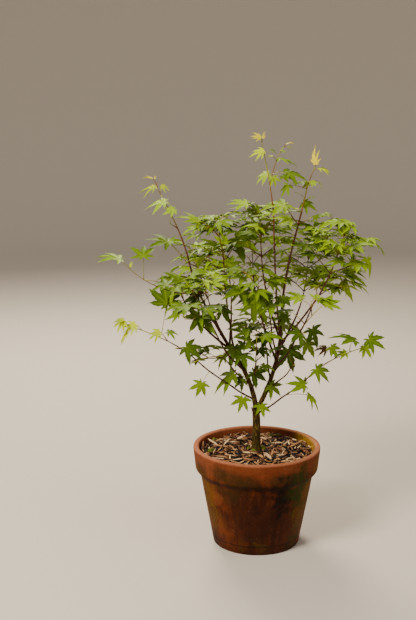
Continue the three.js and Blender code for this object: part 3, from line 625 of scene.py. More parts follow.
SOIL_GAP, SOIL_LUMPS, SOIL_STEPS = 0.3, (11, 11, 400), 24
edge = inner_radius(SOIL["edge"]) - SOIL_GAP
across = np.linspace(edge, 0, SOIL_STEPS)
soil_profile = [[0, SOIL["low"]], [inner_radius(SOIL["low"]) - SOIL_GAP, SOIL["low"]],
                *np.stack([across, soil_height(across)], axis=1).tolist()]
soil_points, soil_faces = turned(walked(soil_profile, SOIL["pace"], 1), SOIL["sides"])
soil_radius = np.linalg.norm(soil_points[:, :2], axis=1)
on_top = (soil_points[:, 2] > SOIL["edge"] - 50) & (soil_radius < edge - 3)
soil_points[:, 2] += on_top * SOIL["rough"] * lumps(soil_points, SOIL_LUMPS, 8)
soil_heap = Heap()
soil_heap.add(soil_points[None], soil_faces)


def chip_shapes(count, lengths, widths, thicknesses, draw):
    """Shreds of bark, each lofted through four cross-sections of four points along its length: narrower at
    the torn ends, bent a little, every point moved a little at random. Shape: (count, 16, 3)."""
    length = lengths[0] + (lengths[1] - lengths[0]) * draw.uniform(0, 1, count) ** 1.5
    width, thick = draw.uniform(*widths, count), draw.uniform(*thicknesses, count)
    stations = np.array([-0.5, -0.24, 0.22, 0.5])
    broad = np.array([0.5, 1, 0.94, 0.4]) * draw.uniform(0.75, 1.2, (count, 4))
    corners = np.array([[-1, -1], [1, -1], [1, 1], [-1, 1]]) / 2
    points = np.zeros((count, 4, 4, 3))
    points[..., 0] = (stations * length[:, None])[:, :, None]
    points[..., 0] += draw.uniform(-0.05, 0.05, (count, 4, 4)) * length[:, None, None]
    points[..., 1] = (broad * width[:, None])[:, :, None] * corners[:, 0]
    points[..., 2] = thick[:, None, None] * corners[:, 1] * (0.5 + 0.5 * broad[:, :, None])
    bend = draw.uniform(-0.04, 0.04, count)[:, None] * length[:, None]
    points[..., 2] += (bend * (1 - (2 * stations) ** 2))[:, :, None]
    points[..., 1:] += draw.uniform(-0.12, 0.12, (count, 4, 4, 2)) * width[:, None, None, None]
    return points.reshape(count, 16, 3), length


CHIP_FACES = [grid_faces(4, 4), np.array([[3, 2, 1, 0], [12, 13, 14, 15]])]


def turned_about(points, yaw, pitch, roll):
    """Points turned by roll about their own length, then pitch, then yaw, each one number a shape."""
    for angle, (a, b) in ((roll, (1, 2)), (pitch, (2, 0)), (yaw, (0, 1))):
        cos, sin = np.cos(angle)[:, None], np.sin(angle)[:, None]
        first, second = points[..., a].copy(), points[..., b].copy()
        points[..., a] = first * cos - second * sin
        points[..., b] = first * sin + second * cos
    return points


def lay_chips(count, lengths, widths, thicknesses, lifts, draw):
    """Chips along a spiral of the golden angle, which covers the disc evenly, moved about and turned at
    random. Those that would cut into the wall or the trunk turn along it."""
    shapes, length = chip_shapes(count, lengths, widths, thicknesses, draw)
    order = np.arange(count) + 0.5
    radius = TRUNK_CLEAR + (edge - TRUNK_CLEAR - 1) * np.sqrt(order / count)
    radius += draw.uniform(-4, 4, count)
    angle = GOLDEN_TURN * np.arange(count) + draw.uniform(-0.3, 0.3, count)
    yaw = draw.uniform(0, 2 * np.pi, count)
    reach = radius + length / 2 * np.abs(np.cos(yaw - angle))
    yaw = np.where(reach > edge - 2, angle + np.pi / 2 + draw.uniform(-0.3, 0.3, count), yaw)
    radius = np.clip(radius, TRUNK_CLEAR + 3, np.sqrt((edge - 1) ** 2 - (length / 2) ** 2) - 2)
    near_trunk = radius - length / 2 < TRUNK_CLEAR
    yaw = np.where(near_trunk, angle + np.pi / 2 + draw.uniform(-0.4, 0.4, count), yaw)
    steep = draw.uniform(0, 1, count) ** 3
    pitch = draw.choice([-1, 1], count) * (0.08 + 0.85 * steep * (1.4 - length / 46))
    shapes = turned_about(shapes, yaw, pitch, draw.uniform(-0.6, 0.6, count))
    middle = np.stack([radius * np.cos(angle), radius * np.sin(angle)], axis=-1)
    lift = soil_height(radius) + draw.uniform(*lifts, count)
    return shapes + np.concatenate([middle, lift[:, None]], axis=1)[:, None]


CHIP_KINDS = {
    # colours from dark to light, share of the crumbs, chunks and slivers
    # the dark kind is dark bark and painted shade: the crumbs, lowest between the others, take it most often
    "mulch_dark_and_shade": (srgb(16, 9, 4), srgb(46, 27, 13), (0.58, 0.42, 0.32)),
    "mulch_brown": (srgb(74, 42, 20), srgb(122, 76, 42), (0.34, 0.34, 0.36)),
    "mulch_tan": (srgb(132, 88, 48), srgb(186, 136, 86), (0.06, 0.17, 0.22)),
    "mulch_pale": (srgb(184, 142, 96), srgb(232, 196, 148), (0.02, 0.07, 0.10)),
}
TOLD_CHIPS = [
    # the pixels of both ends of a chip that stands out, its width, the number of its kind
    ((208, 438), (218, 443), 4.5, 3), ((238, 439), (245, 434), 9.0, 3), ((261, 436), (269, 431), 4.5, 2),
    ((289, 445), (302, 440), 5.0, 2), ((264, 451), (271, 460), 8.5, 3), ((243, 452), (257, 453), 4.5, 3),
    ((224, 444), (230, 438), 3.0, 3), ((216, 445), (231, 446), 4.0, 2), ((225, 451), (229, 456), 4.0, 2),
    ((284, 444), (290, 438), 4.0, 3), ((245, 446), (250, 441), 3.5, 1), ((261, 437), (266, 439), 6.5, 3),
    ((292, 437), (296, 439), 7.5, 3), ((288, 461), (294, 459), 3.5, 3), ((273, 446), (277, 442), 4.0, 2),
]
TOLD_CHIP_LIFT, TOLD_CHIP_THICK = 10.5, 2.6
chip_draw = np.random.default_rng(17)
chips = [lay_chips(*sizes, chip_draw) for sizes in CHIP_SHAPES.values()]
kind_shares = np.array([shares for *_, shares in CHIP_KINDS.values()]).T
chip_kinds = [chip_draw.choice(len(CHIP_KINDS), len(laid), p=share)
              for laid, share in zip(chips, kind_shares)]
for first, last, width, kind in TOLD_CHIPS:
    ends = np.array([place_at(pixel, SOIL["middle"] + TOLD_CHIP_LIFT, axis=2) for pixel in (first, last)])
    along_chip = ends[1] - ends[0]
    sizes = [(size, size) for size in (np.linalg.norm(along_chip), width, TOLD_CHIP_THICK)]
    shape, _ = chip_shapes(1, *sizes, chip_draw)
    yaw, pitch = np.array([math.atan2(along_chip[1], along_chip[0])]), chip_draw.uniform(-0.12, 0.12, 1)
    middle = ends.mean(axis=0)
    middle[2] = soil_height(np.linalg.norm(middle[:2])) + TOLD_CHIP_LIFT
    chips.append(turned_about(shape, yaw, pitch, chip_draw.uniform(-0.3, 0.3, 1)) + middle)
    chip_kinds.append(np.array([kind]))
chips, chip_kinds = np.concatenate(chips), np.concatenate(chip_kinds)
chip_shades = chip_draw.uniform(0, 1, len(chips))

soil_finish = Finish("potting_soil", roughness=0.95, specular=0.1)
# nearly black: dark soil, and painted shade in the gaps between the chips
soil_finish.mottled(180, 5, (0.4, srgb(5, 3, 2)), (0.62, srgb(18, 11, 6)))
soil_finish.bump(soil_finish.noise(260, 6), 0.002)
stand(soil_heap.mesh("potting_soil", soil_finish), "mulch", "mulch")
for number, (name, (dark, light, _)) in enumerate(CHIP_KINDS.items()):
    finish, own = Finish(name, roughness=0.8, specular=0.3), chip_kinds == number
    grain = finish.noise(420, 5, 0.6)
    tone = finish.sum("ADD", finish.times(grain, 0.9), finish.times(finish.attribute("shade"), 0.5))
    finish.colour(finish.ramp(tone, [(0.36, dark), (0.95, light)]))
    finish.bump(grain, 0.001)
    heap = Heap()
    heap.add(chips[own], CHIP_FACES, shade=chip_shades[own])
    stand(heap.mesh(name, finish, smooth=False), "mulch")
print("chips:", len(chips))

# %% [markdown]
# Between the chips grow a few cushions of moss, as in any pot that stands outdoors. A cushion is a tuft of
# short upright blades, denser and taller in its middle, so its edge is soft.

# %% Moss tufts
MOSS_TUFTS = [
    # pixel, radius in millimetres, blades
    ((211, 449), 11, 170), ((214, 438), 8, 90), ((271, 434), 8, 110), ((278, 433), 10, 130),
    ((263, 448), 8, 110), ((254, 450), 8, 110), ((249, 448), 6, 60), ((225, 433), 7, 50), ((301, 446), 6, 40),
]
MOSS_ABOVE, MOSS_SUNK = 6, 3
BLADE_HEIGHT, BLADE_SHORTEST, BLADE_LEAN = 5.2, 4, 2.2
BLADE_STEPS = np.array([0, 0.5, 1])
BLADE_WIDTHS = 0.75 * np.array([0.7, 1, 0.35])

moss_draw = np.random.default_rng(31)
moss_heap = Heap()
for pixel, radius, blades in MOSS_TUFTS:
    x, y, _ = place_at(pixel, SOIL["middle"] + MOSS_ABOVE, axis=2)
    far = radius * moss_draw.uniform(0, 1, blades) ** 0.7
    turn = moss_draw.uniform(0, 2 * np.pi, blades)
    foot = np.stack([x + far * np.cos(turn), y + far * np.sin(turn)], axis=-1)
    ground = soil_height(np.linalg.norm(foot, axis=1)) + MOSS_SUNK
    tall = BLADE_HEIGHT * (1.15 - far / radius) * moss_draw.uniform(0.7, 1.2, blades) + BLADE_SHORTEST
    lean = moss_draw.uniform(-BLADE_LEAN, BLADE_LEAN, (blades, 2))
    flat = foot[:, None] + lean[:, None] * BLADE_STEPS[:, None] ** 2
    upright = (ground[:, None] + tall[:, None] * BLADE_STEPS)[..., None]
    lines = np.concatenate([flat, upright], axis=-1)
    moss_heap.add(*tubes(lines, np.broadcast_to(BLADE_WIDTHS, (blades, 3)), 4))
moss_finish = Finish("mulch_moss", roughness=0.8, specular=0.2)
moss_finish.mottled(160, 3, (0.38, srgb(52, 66, 12)), (0.6, srgb(124, 132, 32)))
stand(moss_heap.mesh("mulch_moss", moss_finish), "mulch")

# %% [markdown]
# Trunk and boughs repeat the sizes of the part's own solids, so every limb is where the frame has it. Each
# is a curve of three points: its root on the limb that carries it, a middle that is pushed out along its
# heading, and its tip. Lengths are millimetres and headings are degrees round from the right.

# %% Limbs
UP = np.array([0.0, 0.0, 1.0])
TRUNK = {
    "x": -2.6, "foot_z": 262.3, "fork_z": 378, "bow": 1.2, "foot": 12, "top": 10.4,
    "flare": 4.5, "fade": 0.07,
}
BOUGHS = [
    # name, carried by, share of the way up it, heading, reach, rise, bow, radius at the root and at the tip
    ("left_limb", "trunk", 0.95, 172, 82, 185, -16, 7.2, 5.2),
    ("right_limb", "trunk", 0.93, -11, 65, 215, 11, 7.0, 4.9),
    ("left_leader", "left_limb", 0.96, 173, 110, 232, 13, 3.8, 2.3),
    ("left_arm", "left_limb", 0.9, -155, 140, 150, 17, 3.2, 1.9),
    ("mid_left_bough", "left_limb", 0.95, 86, 46, 105, 4, 3.2, 2.1),
    ("left_upright", "left_limb", 0.82, -120, 62, 262, 10, 3.0, 1.8),
    ("left_back_bough", "left_limb", 0.7, 126, 132, 112, 12, 3.2, 2.1),
    ("left_front_bough", "left_limb", 0.6, -122, 128, 118, 12, 2.9, 1.9),
    ("lower_left_bough", "left_limb", 0.4, -146, 70, 68, 7, 2.3, 1.6),
    ("low_left_bough", "left_limb", 0.16, -158, 169, 128, 9, 2.5, 1.7),
    ("inner_spur", "left_limb", 0.3, -82, 50, 72, 5, 2.1, 1.5),
    ("centre_shoot", "right_limb", 0.93, -113, 53, 320, 6, 2.9, 1.8),
    ("right_leader", "right_limb", 0.97, -32, 44, 292, -10, 3.9, 2.2),
    ("right_arm", "right_limb", 0.9, -4, 111, 152, 8, 3.1, 2.0),
    ("right_arm_low", "right_limb", 0.52, 30, 120, 168, 10, 2.7, 1.8),
    ("right_back_bough", "right_limb", 0.8, 66, 150, 96, 13, 3.3, 2.1),
    ("centre_back_bough", "right_limb", 0.68, 112, 138, 126, 12, 3.1, 2.0),
    ("low_back_bough", "right_limb", 0.42, 98, 96, 82, 9, 2.5, 1.7),
    ("centre_bough", "right_limb", 0.95, 156, 54, 190, 8, 2.9, 1.9),
    ("right_front_bough", "right_limb", 0.6, -62, 104, 92, 11, 2.7, 1.8),
    ("centre_front_bough", "right_limb", 0.74, -106, 78, 118, 9, 2.6, 1.7),
    ("lower_right_bough", "right_limb", 0.3, -36, 76, 70, 7, 2.3, 1.6),
    ("low_right_bough", "trunk", 0.86, -17, 150, 124, 9, 2.5, 1.6),
    ("fork_spur", "trunk", 0.8, -118, 26, 34, 3, 1.9, 1.4),
]
OLD_WOOD = ("trunk", "left_limb", "right_limb")


def along(ends, shares):
    """Points of a curve of three points a, b, c: (1-t)² a + 2t(1-t) b + t² c, for each share t."""
    t = np.asarray(shares, float)[..., None]
    return (1 - t) ** 2 * ends[0] + 2 * t * (1 - t) * ends[1] + t**2 * ends[2]


def heads(ends, share):
    """The way that such a curve runs at a share of the way, from its slope (1-t)(b-a) + t(c-b)."""
    return unit((1 - share) * (ends[1] - ends[0]) + share * (ends[2] - ends[1]))


def limb_ends(root, heading, reach, rise, bow):
    """Root, middle and tip of a limb from its heading, level reach, rise and bow."""
    out = np.array([math.cos(math.radians(heading)), math.sin(math.radians(heading)), 0])
    tip = root + reach * out + rise * UP
    return np.array([root, (root + tip) / 2 + 2 * bow * out, tip])


trunk_root = np.array([TRUNK["x"], 0, TRUNK["foot_z"]])
trunk_tip = np.array([TRUNK["x"], 0, TRUNK["fork_z"]])
trunk_middle = (trunk_root + trunk_tip) / 2 + [2 * TRUNK["bow"], 0, 0]
limbs = {"trunk": (np.array([trunk_root, trunk_middle, trunk_tip]), TRUNK["foot"], TRUNK["top"])}
for name, carrier, share, heading, reach, rise, bow, root_radius, tip_radius in BOUGHS:
    root = along(limbs[carrier][0], share)
    limbs[name] = (limb_ends(root, heading, reach, rise, bow), root_radius, tip_radius)

LIMB_SAMPLES = np.linspace(0, 1, 60)
limb_points = np.concatenate([along(ends, LIMB_SAMPLES) for ends, *_ in limbs.values()])
limb_radii = np.concatenate([root + (tip - root) * LIMB_SAMPLES for _, root, tip in limbs.values()])
print("limbs:", len(limbs))

# %% [markdown]
# On a real maple the limbs melt into each other: there is a collar where a bough leaves, and no seam. Tubes
# that only cross would show one. So trunk and main limbs are tubes with swollen roots that overlap, a voxel
# remesh fuses them, and their bark is then raised as real relief: shallow cracks drawn out along the wood,
# and a few old knots.

# %% Trunk and main limbs
LIMB_SIDES, LIMB_PACE = 20, 4.0
COLLAR, COLLAR_FADE = 0.32, 13.0
TRUNK_SUNK = 7.0
BARK_VOXEL = 1.15
CRACKS, CRACK_SIZES = 0.42, (3.4, 3.4, 17)
WARTS, WART_SIZES = 0.28, (2.2, 2.2, 3.0)
SWELLS, SWELL_SIZES = 0.5, (16, 16, 26)
KNOT_DENT, KNOT_DENT_NARROW = 0.6, 2.6
KNOTS = [
    # place, how far it reaches, how high it stands
    ((-9, -11, 366), 7, 2.2), ((8, -10, 330), 5, 1.2), ((-12, -6, 300), 6, 1.0), ((-3, -13, 283), 6, 0.9),
    ((-22, -8, 430), 5, 1.3), ((-40, -6, 486), 5, 1.2), ((22, -8, 438), 5, 1.1), ((40, -9, 500), 5, 1.3),
    ((7, 10, 345), 6, 1.2), ((-5, 13, 318), 5, 1.0), ((50, -6, 560), 4, 1.0), ((-62, -6, 548), 4, 1.0),
]


def limb_tube(ends, root_radius, tip_radius, pace, collar, fade):
    """One limb as a tube, its root swollen by a collar that fades over some millimetres."""
    length = np.linalg.norm(ends[2] - ends[0])
    shares = np.linspace(0, 1, max(4, int(length / pace)))
    radii = root_radius + (tip_radius - root_radius) * shares
    radii = radii * (1 + collar * np.exp(-shares * length / fade))
    return along(ends, shares)[None], radii[None], shares


wood = Heap()
trunk_ends, trunk_foot, trunk_top = limbs["trunk"]
sunk_ends = trunk_ends - [[0, 0, TRUNK_SUNK], [0, 0, 0], [0, 0, 0]]
line, radii, shares = limb_tube(sunk_ends, trunk_foot, trunk_top, LIMB_PACE, 0, 1)
radii = radii + TRUNK["flare"] * np.exp(-shares / TRUNK["fade"])
wood.add(*tubes(line, radii, LIMB_SIDES))
for name in OLD_WOOD[1:]:
    line, radii, shares = limb_tube(*limbs[name], LIMB_PACE, COLLAR, COLLAR_FADE)
    wood.add(*tubes(line, radii, LIMB_SIDES))


def raise_bark(piece):
    """Moves each point along its normal: cracks are the sharp valleys 1 - |noise|, drawn out along the wood,
    warts and swells are finer and broader noise, and a knot is a bell curve round its place, dented in the
    middle."""
    data = piece.data
    count = len(data.vertices)
    places, normals = np.empty(count * 3, np.float32), np.empty(count * 3, np.float32)
    data.vertices.foreach_get("co", places)
    data.vertex_normals.foreach_get("vector", normals)
    points = places.reshape(-1, 3).astype(float) / MM
    normals = normals.reshape(-1, 3)
    rise = -CRACKS * (1 - np.abs(lumps(points, CRACK_SIZES, 21))) ** 4
    rise += WARTS * lumps(points, WART_SIZES, 22) + SWELLS * lumps(points, SWELL_SIZES, 23)
    for place, reach, height in KNOTS:
        far = np.linalg.norm(points - place, axis=1) / reach
        rise += height * (np.exp(-(far**2)) - KNOT_DENT * np.exp(-((KNOT_DENT_NARROW * far) ** 2)))
    points += normals * rise[:, None]
    data.vertices.foreach_set("co", (points * MM).astype(np.float32).ravel())
    data.update()


bark = Finish("bark", roughness=0.82, specular=0.15)
cracks, mottle = bark.noise(330, 5, 0.6, stretch=(1, 1, 0.22)), bark.noise(70, 4)
young = bark.ramp(cracks, [(0.36, srgb(22, 12, 5)), (0.5, srgb(60, 37, 14)), (0.66, srgb(106, 72, 30))])
old = bark.ramp(cracks, [(0.36, srgb(19, 13, 3)), (0.5, srgb(54, 39, 8)), (0.66, srgb(108, 82, 22))])
bark.painted = bark.mix(bark.between(bark.height(), 0.38, 0.56), old, young)
lichen, brown, specks, moss = srgb(124, 116, 44), srgb(48, 32, 14), srgb(24, 17, 5), srgb(52, 48, 6)
bark.paint(lichen, bark.between(bark.noise(150, 5, 0.7), 0.56, 0.66), 0.55)
bark.paint(brown, bark.between(mottle, 0.5, 0.7), 0.5)
bark.paint(specks, bark.between(bark.noise(560, 3, 0.5), 0.56, 0.62), 0.65)
uneven_height = bark.sum("ADD", bark.height(), bark.times(mottle, 0.05))
bark.paint(moss, bark.between(uneven_height, 0.312, 0.278), 0.6)
bark.colour(bark.painted)
bark.bump(cracks, 0.0015, 0.8)

trunk_and_limbs = wood.mesh("trunk_and_limbs", bark)
applied(trunk_and_limbs, "REMESH", mode="VOXEL", voxel_size=BARK_VOXEL * MM, use_smooth_shade=True)
applied(trunk_and_limbs, "SMOOTH", factor=0.5, iterations=3)
raise_bark(trunk_and_limbs)
stand(trunk_and_limbs, "bark", *OLD_WOOD)
print("bark has", len(trunk_and_limbs.data.polygons), "faces")

# %% [markdown]
# The thinner boughs keep the smooth, reddish skin of young wood. Their detail is at the nodes, where pairs
# of leaves once stood: a slight swelling every few centimetres. Each bough starts inside the limb that
# carries it.

# %% Boughs
BOUGH_SIDES, BOUGH_PACE = 10, 3.5
BOUGH_COLLAR, BOUGH_COLLAR_FADE = 0.5, 6.0
NODE_EVERY, NODE_SWELL, NODE_WIDTH = 36.0, 0.30, 2.6
WANDER, WANDER_SIZES = 1.7, (42, 1, 1)


def knotted(line, radii, shares, seed):
    """A young shoot: its line wanders a little by noise that is 0 at both ends, and its radius swells at each
    node by a bell curve."""
    length = np.linalg.norm(line[0, -1] - line[0, 0])
    ends_held = np.sin(np.pi * shares)[:, None] ** 0.7
    step = np.stack([shares * length, np.full_like(shares, 7.0 * seed), np.zeros_like(shares)], axis=-1)
    wander = np.stack([lumps(step, WANDER_SIZES, seed + turn) for turn in range(3)], axis=-1)
    line = line + WANDER * ends_held * wander
    node = (shares * length + NODE_EVERY / 2) % NODE_EVERY - NODE_EVERY / 2
    swell = 1 + NODE_SWELL * np.exp(-((node / NODE_WIDTH) ** 2))
    return line, radii * swell


young_wood = Heap()
bough_names = [name for name in limbs if name not in OLD_WOOD]
for seed, name in enumerate(bough_names):
    line, radii, shares = limb_tube(*limbs[name], BOUGH_PACE, BOUGH_COLLAR, BOUGH_COLLAR_FADE)
    line, radii = knotted(line, radii, shares, seed + 1)
    points, faces = tubes(line, radii, BOUGH_SIDES)
    rings = np.repeat(shares, BOUGH_SIDES)[None]
    young_wood.add(points, faces, age=rings)

shoot = Finish("young_bark", roughness=0.6, specular=0.2)
skin = shoot.noise(260, 4, 0.6, stretch=(1, 1, 0.3))
DARK_SKIN = [(0.35, srgb(36, 16, 10)), (0.52, srgb(66, 30, 17)), (0.68, srgb(100, 54, 30))]
LIGHT_SKIN = [(0.35, srgb(78, 40, 10)), (0.52, srgb(118, 66, 16)), (0.68, srgb(146, 92, 26))]
# paler skin higher up: partly younger wood, partly painted light on the lit top of the crown
high_up = shoot.between(shoot.height(), 0.80, 1.02)
shoot.colour(shoot.mix(high_up, shoot.ramp(skin, DARK_SKIN), shoot.ramp(skin, LIGHT_SKIN)))
shoot.bump(skin, 0.0008, 0.7)
stand(young_wood.mesh("young_boughs", shoot), "young_bark", *bough_names)

# %% [markdown]
# Now the crown. Each mass keeps to its own egg-shaped space, cut off from its neighbours by planes, and
# grows by one rule: a stem carries on from its bough's tip, side twigs stand on it in opposite pairs, and
# each pair is turned from the last. Anything that would leave the space or touch a limb is skipped. The same
# seeds give the same twigs as in the part, and from there the rule goes on to shorter twigs and more leaves
# of true size.

# %% Spaces of the masses
MASSES = [
    # name, its bough, centre and half sizes of its space, pairs of twigs, leaf length in the part, seed
    ("top_left_wisp", "left_leader", (-240, 26, 908), (62, 52, 118), 3, 56, 11),
    ("left_arm_spray", "left_arm", (-312, -68, 785), (124, 60, 86), 3, 78, 12),
    ("low_left_spray", "low_left_bough", (-285, -90, 600), (122, 60, 76), 3, 68, 163),
    ("upper_left_crown", "left_upright", (-132, -40, 915), (116, 108, 74), 3, 84, 284),
    ("mid_left_crown", "mid_left_bough", (-98, 92, 780), (104, 92, 112), 3, 84, 15),
    ("left_back_crown", "left_back_bough", (-170, 186, 730), (110, 92, 120), 4, 88, 196),
    ("left_front_crown", "left_front_bough", (-165, -145, 720), (104, 84, 96), 3, 92, 347),
    ("lower_left_crown", "lower_left_bough", (-138, -72, 522), (86, 70, 70), 2, 84, 138),
    ("inner_spray", "inner_spur", (-4, -100, 572), (82, 66, 80), 2, 84, 229),
    ("centre_top_shoot", "centre_shoot", (22, -62, 1006), (70, 60, 124), 3, 54, 200),
    ("right_top_shoot", "right_leader", (122, -40, 982), (64, 58, 116), 3, 54, 351),
    ("right_crown", "right_arm", (216, -14, 845), (112, 108, 108), 4, 84, 22),
    ("right_mid_crown", "right_arm_low", (196, 84, 705), (100, 84, 88), 3, 84, 23),
    ("right_back_crown", "right_back_bough", (136, 206, 760), (112, 92, 120), 4, 88, 24),
    ("centre_back_crown", "centre_back_bough", (-12, 192, 790), (100, 90, 122), 4, 88, 235),
    ("low_back_crown", "low_back_bough", (18, 136, 570), (96, 76, 80), 3, 84, 296),
    ("centre_crown", "centre_bough", (6, 24, 880), (106, 98, 92), 4, 84, 357),
    ("right_front_crown", "right_front_bough", (136, -140, 660), (90, 80, 82), 3, 86, 148),
    ("centre_front_crown", "centre_front_bough", (-10, -138, 738), (90, 82, 88), 3, 90, 359),
    ("lower_right_crown", "lower_right_bough", (128, -70, 530), (80, 66, 64), 2, 80, 90),
    ("low_right_spray", "low_right_bough", (244, -54, 545), (116, 60, 66), 3, 66, 61),
    ("fork_spray", "fork_spur", (-26, -60, 404), (60, 54, 56), 1, 60, 32),
]
mass_centres = np.array([mass[2] for mass in MASSES], float)
mass_halves = np.array([mass[3] for mass in MASSES], float)
SPACE_GAP = 0.3


def seeded(seed):
    """The part's own generator of numbers from 0 to 1: a linear congruence on 32 bits."""
    state = seed * 2654435761 % 2**32

    def draw():
        """The next number of the row."""
        nonlocal state
        state = (state * 1664525 + 1013904223) % 2**32
        return state / 2**32

    return draw


def between(ends, share):
    """A number this share of the way from the first to the second."""
    return ends[0] + (ends[1] - ends[0]) * share


class Space:
    """The room of one mass: an egg, and a plane towards each other mass, placed by the sizes of both."""

    def __init__(self, number):
        """The space of the mass with this number."""
        self.centre, self.half = mass_centres[number], mass_halves[number]
        others = np.arange(len(MASSES)) != number
        ways = mass_centres[others] - self.centre
        apart = np.linalg.norm(ways, axis=1)
        self.ways = ways / apart[:, None]
        own = 1 / np.linalg.norm(self.ways / self.half, axis=1)
        theirs = 1 / np.linalg.norm(self.ways / mass_halves[others], axis=1)
        self.limits = self.ways @ self.centre + own / (own + theirs) * apart - SPACE_GAP

    def holds(self, points, share=1.0):
        """Whether all points are in the space, with its walls moved out to this share of their distance."""
        points = np.atleast_2d(points)
        in_egg = np.linalg.norm((points - self.centre) / self.half, axis=1) <= share
        beyond = points @ self.ways.T - self.limits
        in_planes = (beyond < (share - 1) * (self.limits - self.ways @ self.centre)).all(axis=1)
        return bool((in_egg & in_planes).all())

    def room(self, point, way):
        """How far it is from a point to the wall, going one way."""
        p, w = (point - self.centre) / self.half, way / self.half
        a, b, c = w @ w, p @ w, p @ p - 1
        root = b * b - a * c
        far = (-b + math.sqrt(root)) / a if root > 0 else 0
        speed = self.ways @ way
        facing = speed > 1e-6
        if facing.any():
            far = min(far, ((self.limits - self.ways @ point)[facing] / speed[facing]).min())
        return max(far, 0)


def clear_of_limbs(points, margin):
    """Whether all points keep this far from the skin of every limb."""
    far = np.linalg.norm(np.atleast_2d(points)[:, None] - limb_points, axis=-1)
    return bool((far > limb_radii + margin).all())


# %% [markdown]
# The wood of the crown comes first. On each stem and side twig it notes the places where a leaf may stand.
# Long twigs carry a pair of shorter ones, and the stem of a loose spray goes on into a thin leading shoot
# that turns upwards. A few masses are fuller or thinner than the rest, as the photograph shows them.

# %% Growing the wood of the crown
STEM = {"reach": 0.55, "bend": 0.42, "lowest": 0.22, "highest": 0.92, "uneven": 0.4}
TWIG = {
    "forward": 0.55, "level": 0.5, "lift": 0.12, "arch": 0.06, "first_turn": 37, "pair_turn": 90, "turn": 40,
    "longest": 90, "shortest": 14, "room_share": 0.5, "lengths": (0.8, 1), "clear": 2,
}
FINER = {
    "on": 1.3, "longest": 112, "part_room": 0.72, "pairs_from": 40, "side_from": 50, "side_at": 0.52,
    "side_share": 0.45, "side_turn": 46, "side_lift": 0.1, "side_room": 0.7, "shortest_leader": 10,
    "leader_up": 0.35,
}
TWIG_RADII, SIDE_RADII, STEM_TIP = (1.5, 0.75), (0.95, 0.6), 0.95
SPREAD, STEM_SPREAD, LEADER_SPREAD, LEADER_SIZE = 50, 60, 55, 0.9
MIDDLE_PAIR, END_PAIR, FULL_PAIRS, SIDE_PAIR = 0.6, 0.98, (0.4, 0.7, 0.98), (0.97,)
STEM_SITES = ((0.5, 0.9), (0.78, 0.95), (0.985, 1))
LOOSE = {
    # loose sprays, and how long their leading shoot is as a share of the room ahead
    "top_left_wisp": 0.5, "left_arm_spray": 0.2, "low_left_spray": 0.8, "centre_top_shoot": 0.8,
    "right_top_shoot": 0.75, "low_right_spray": 0.6, "fork_spray": 0.3, "inner_spray": 0.3,
    "lower_left_crown": 0.3, "lower_right_crown": 0.3,
}
# masses whose leaves stand closer together than in the others, and those where they stand farther apart
FULL = ("upper_left_crown",)
THIN = ("centre_crown", "centre_front_crown", "centre_back_crown", "low_back_crown")

twigs, carriers, sites = [], [], []


def add_twig(ends, root_radius, tip_radius, carrier):
    """Keeps a twig and the number of the twig that carries it, -1 for a bough. Returns its own number."""
    twigs.append((ends, root_radius, tip_radius))
    carriers.append(carrier)
    return len(twigs) - 1


def note_site(mass_number, twig, at, way, spread, share, mark, spray):
    """Keeps a place for a leaf: mass, twig, root of its stalk, way there, turn, size, seed and spray."""
    sites.append((mass_number, twig, at, way, spread, share, mark, spray))


def turned_level(way, degrees):
    """A way turned about the upright axis."""
    cos, sin = math.cos(math.radians(degrees)), math.sin(math.radians(degrees))
    return np.array([way[0] * cos - way[1] * sin, way[0] * sin + way[1] * cos, way[2]])


def grow_twig(space, number, carrier, node, way, reach, mark, spray, radii, pairs):
    """One twig with a pair of leaves at each share in pairs, and an end leaf where it has more than one
    pair. Returns its number, or None where there is no room for it."""
    tip = node + way * reach
    ends = np.array([node, (node + tip) / 2 + UP * TWIG["arch"] * reach, tip])
    tests = along(ends, np.linspace(0, 1, 7)[1:])
    if not (space.holds(tests) and clear_of_limbs(tests, TWIG["clear"])):
        return None
    twig = add_twig(ends, *radii, carrier)
    for step, share in enumerate(pairs):
        for hand in (1, -1):
            size = 0.84 + 0.16 * share - 0.06 * (hand < 0)
            note_site(number, twig, along(ends, share), heads(ends, share), hand * SPREAD, size,
                      mark + 2 * step + (hand > 0), spray)
    if len(pairs) > 1:
        note_site(number, twig, tip, heads(ends, 1), 0, 1, mark + 9, spray)
    return twig


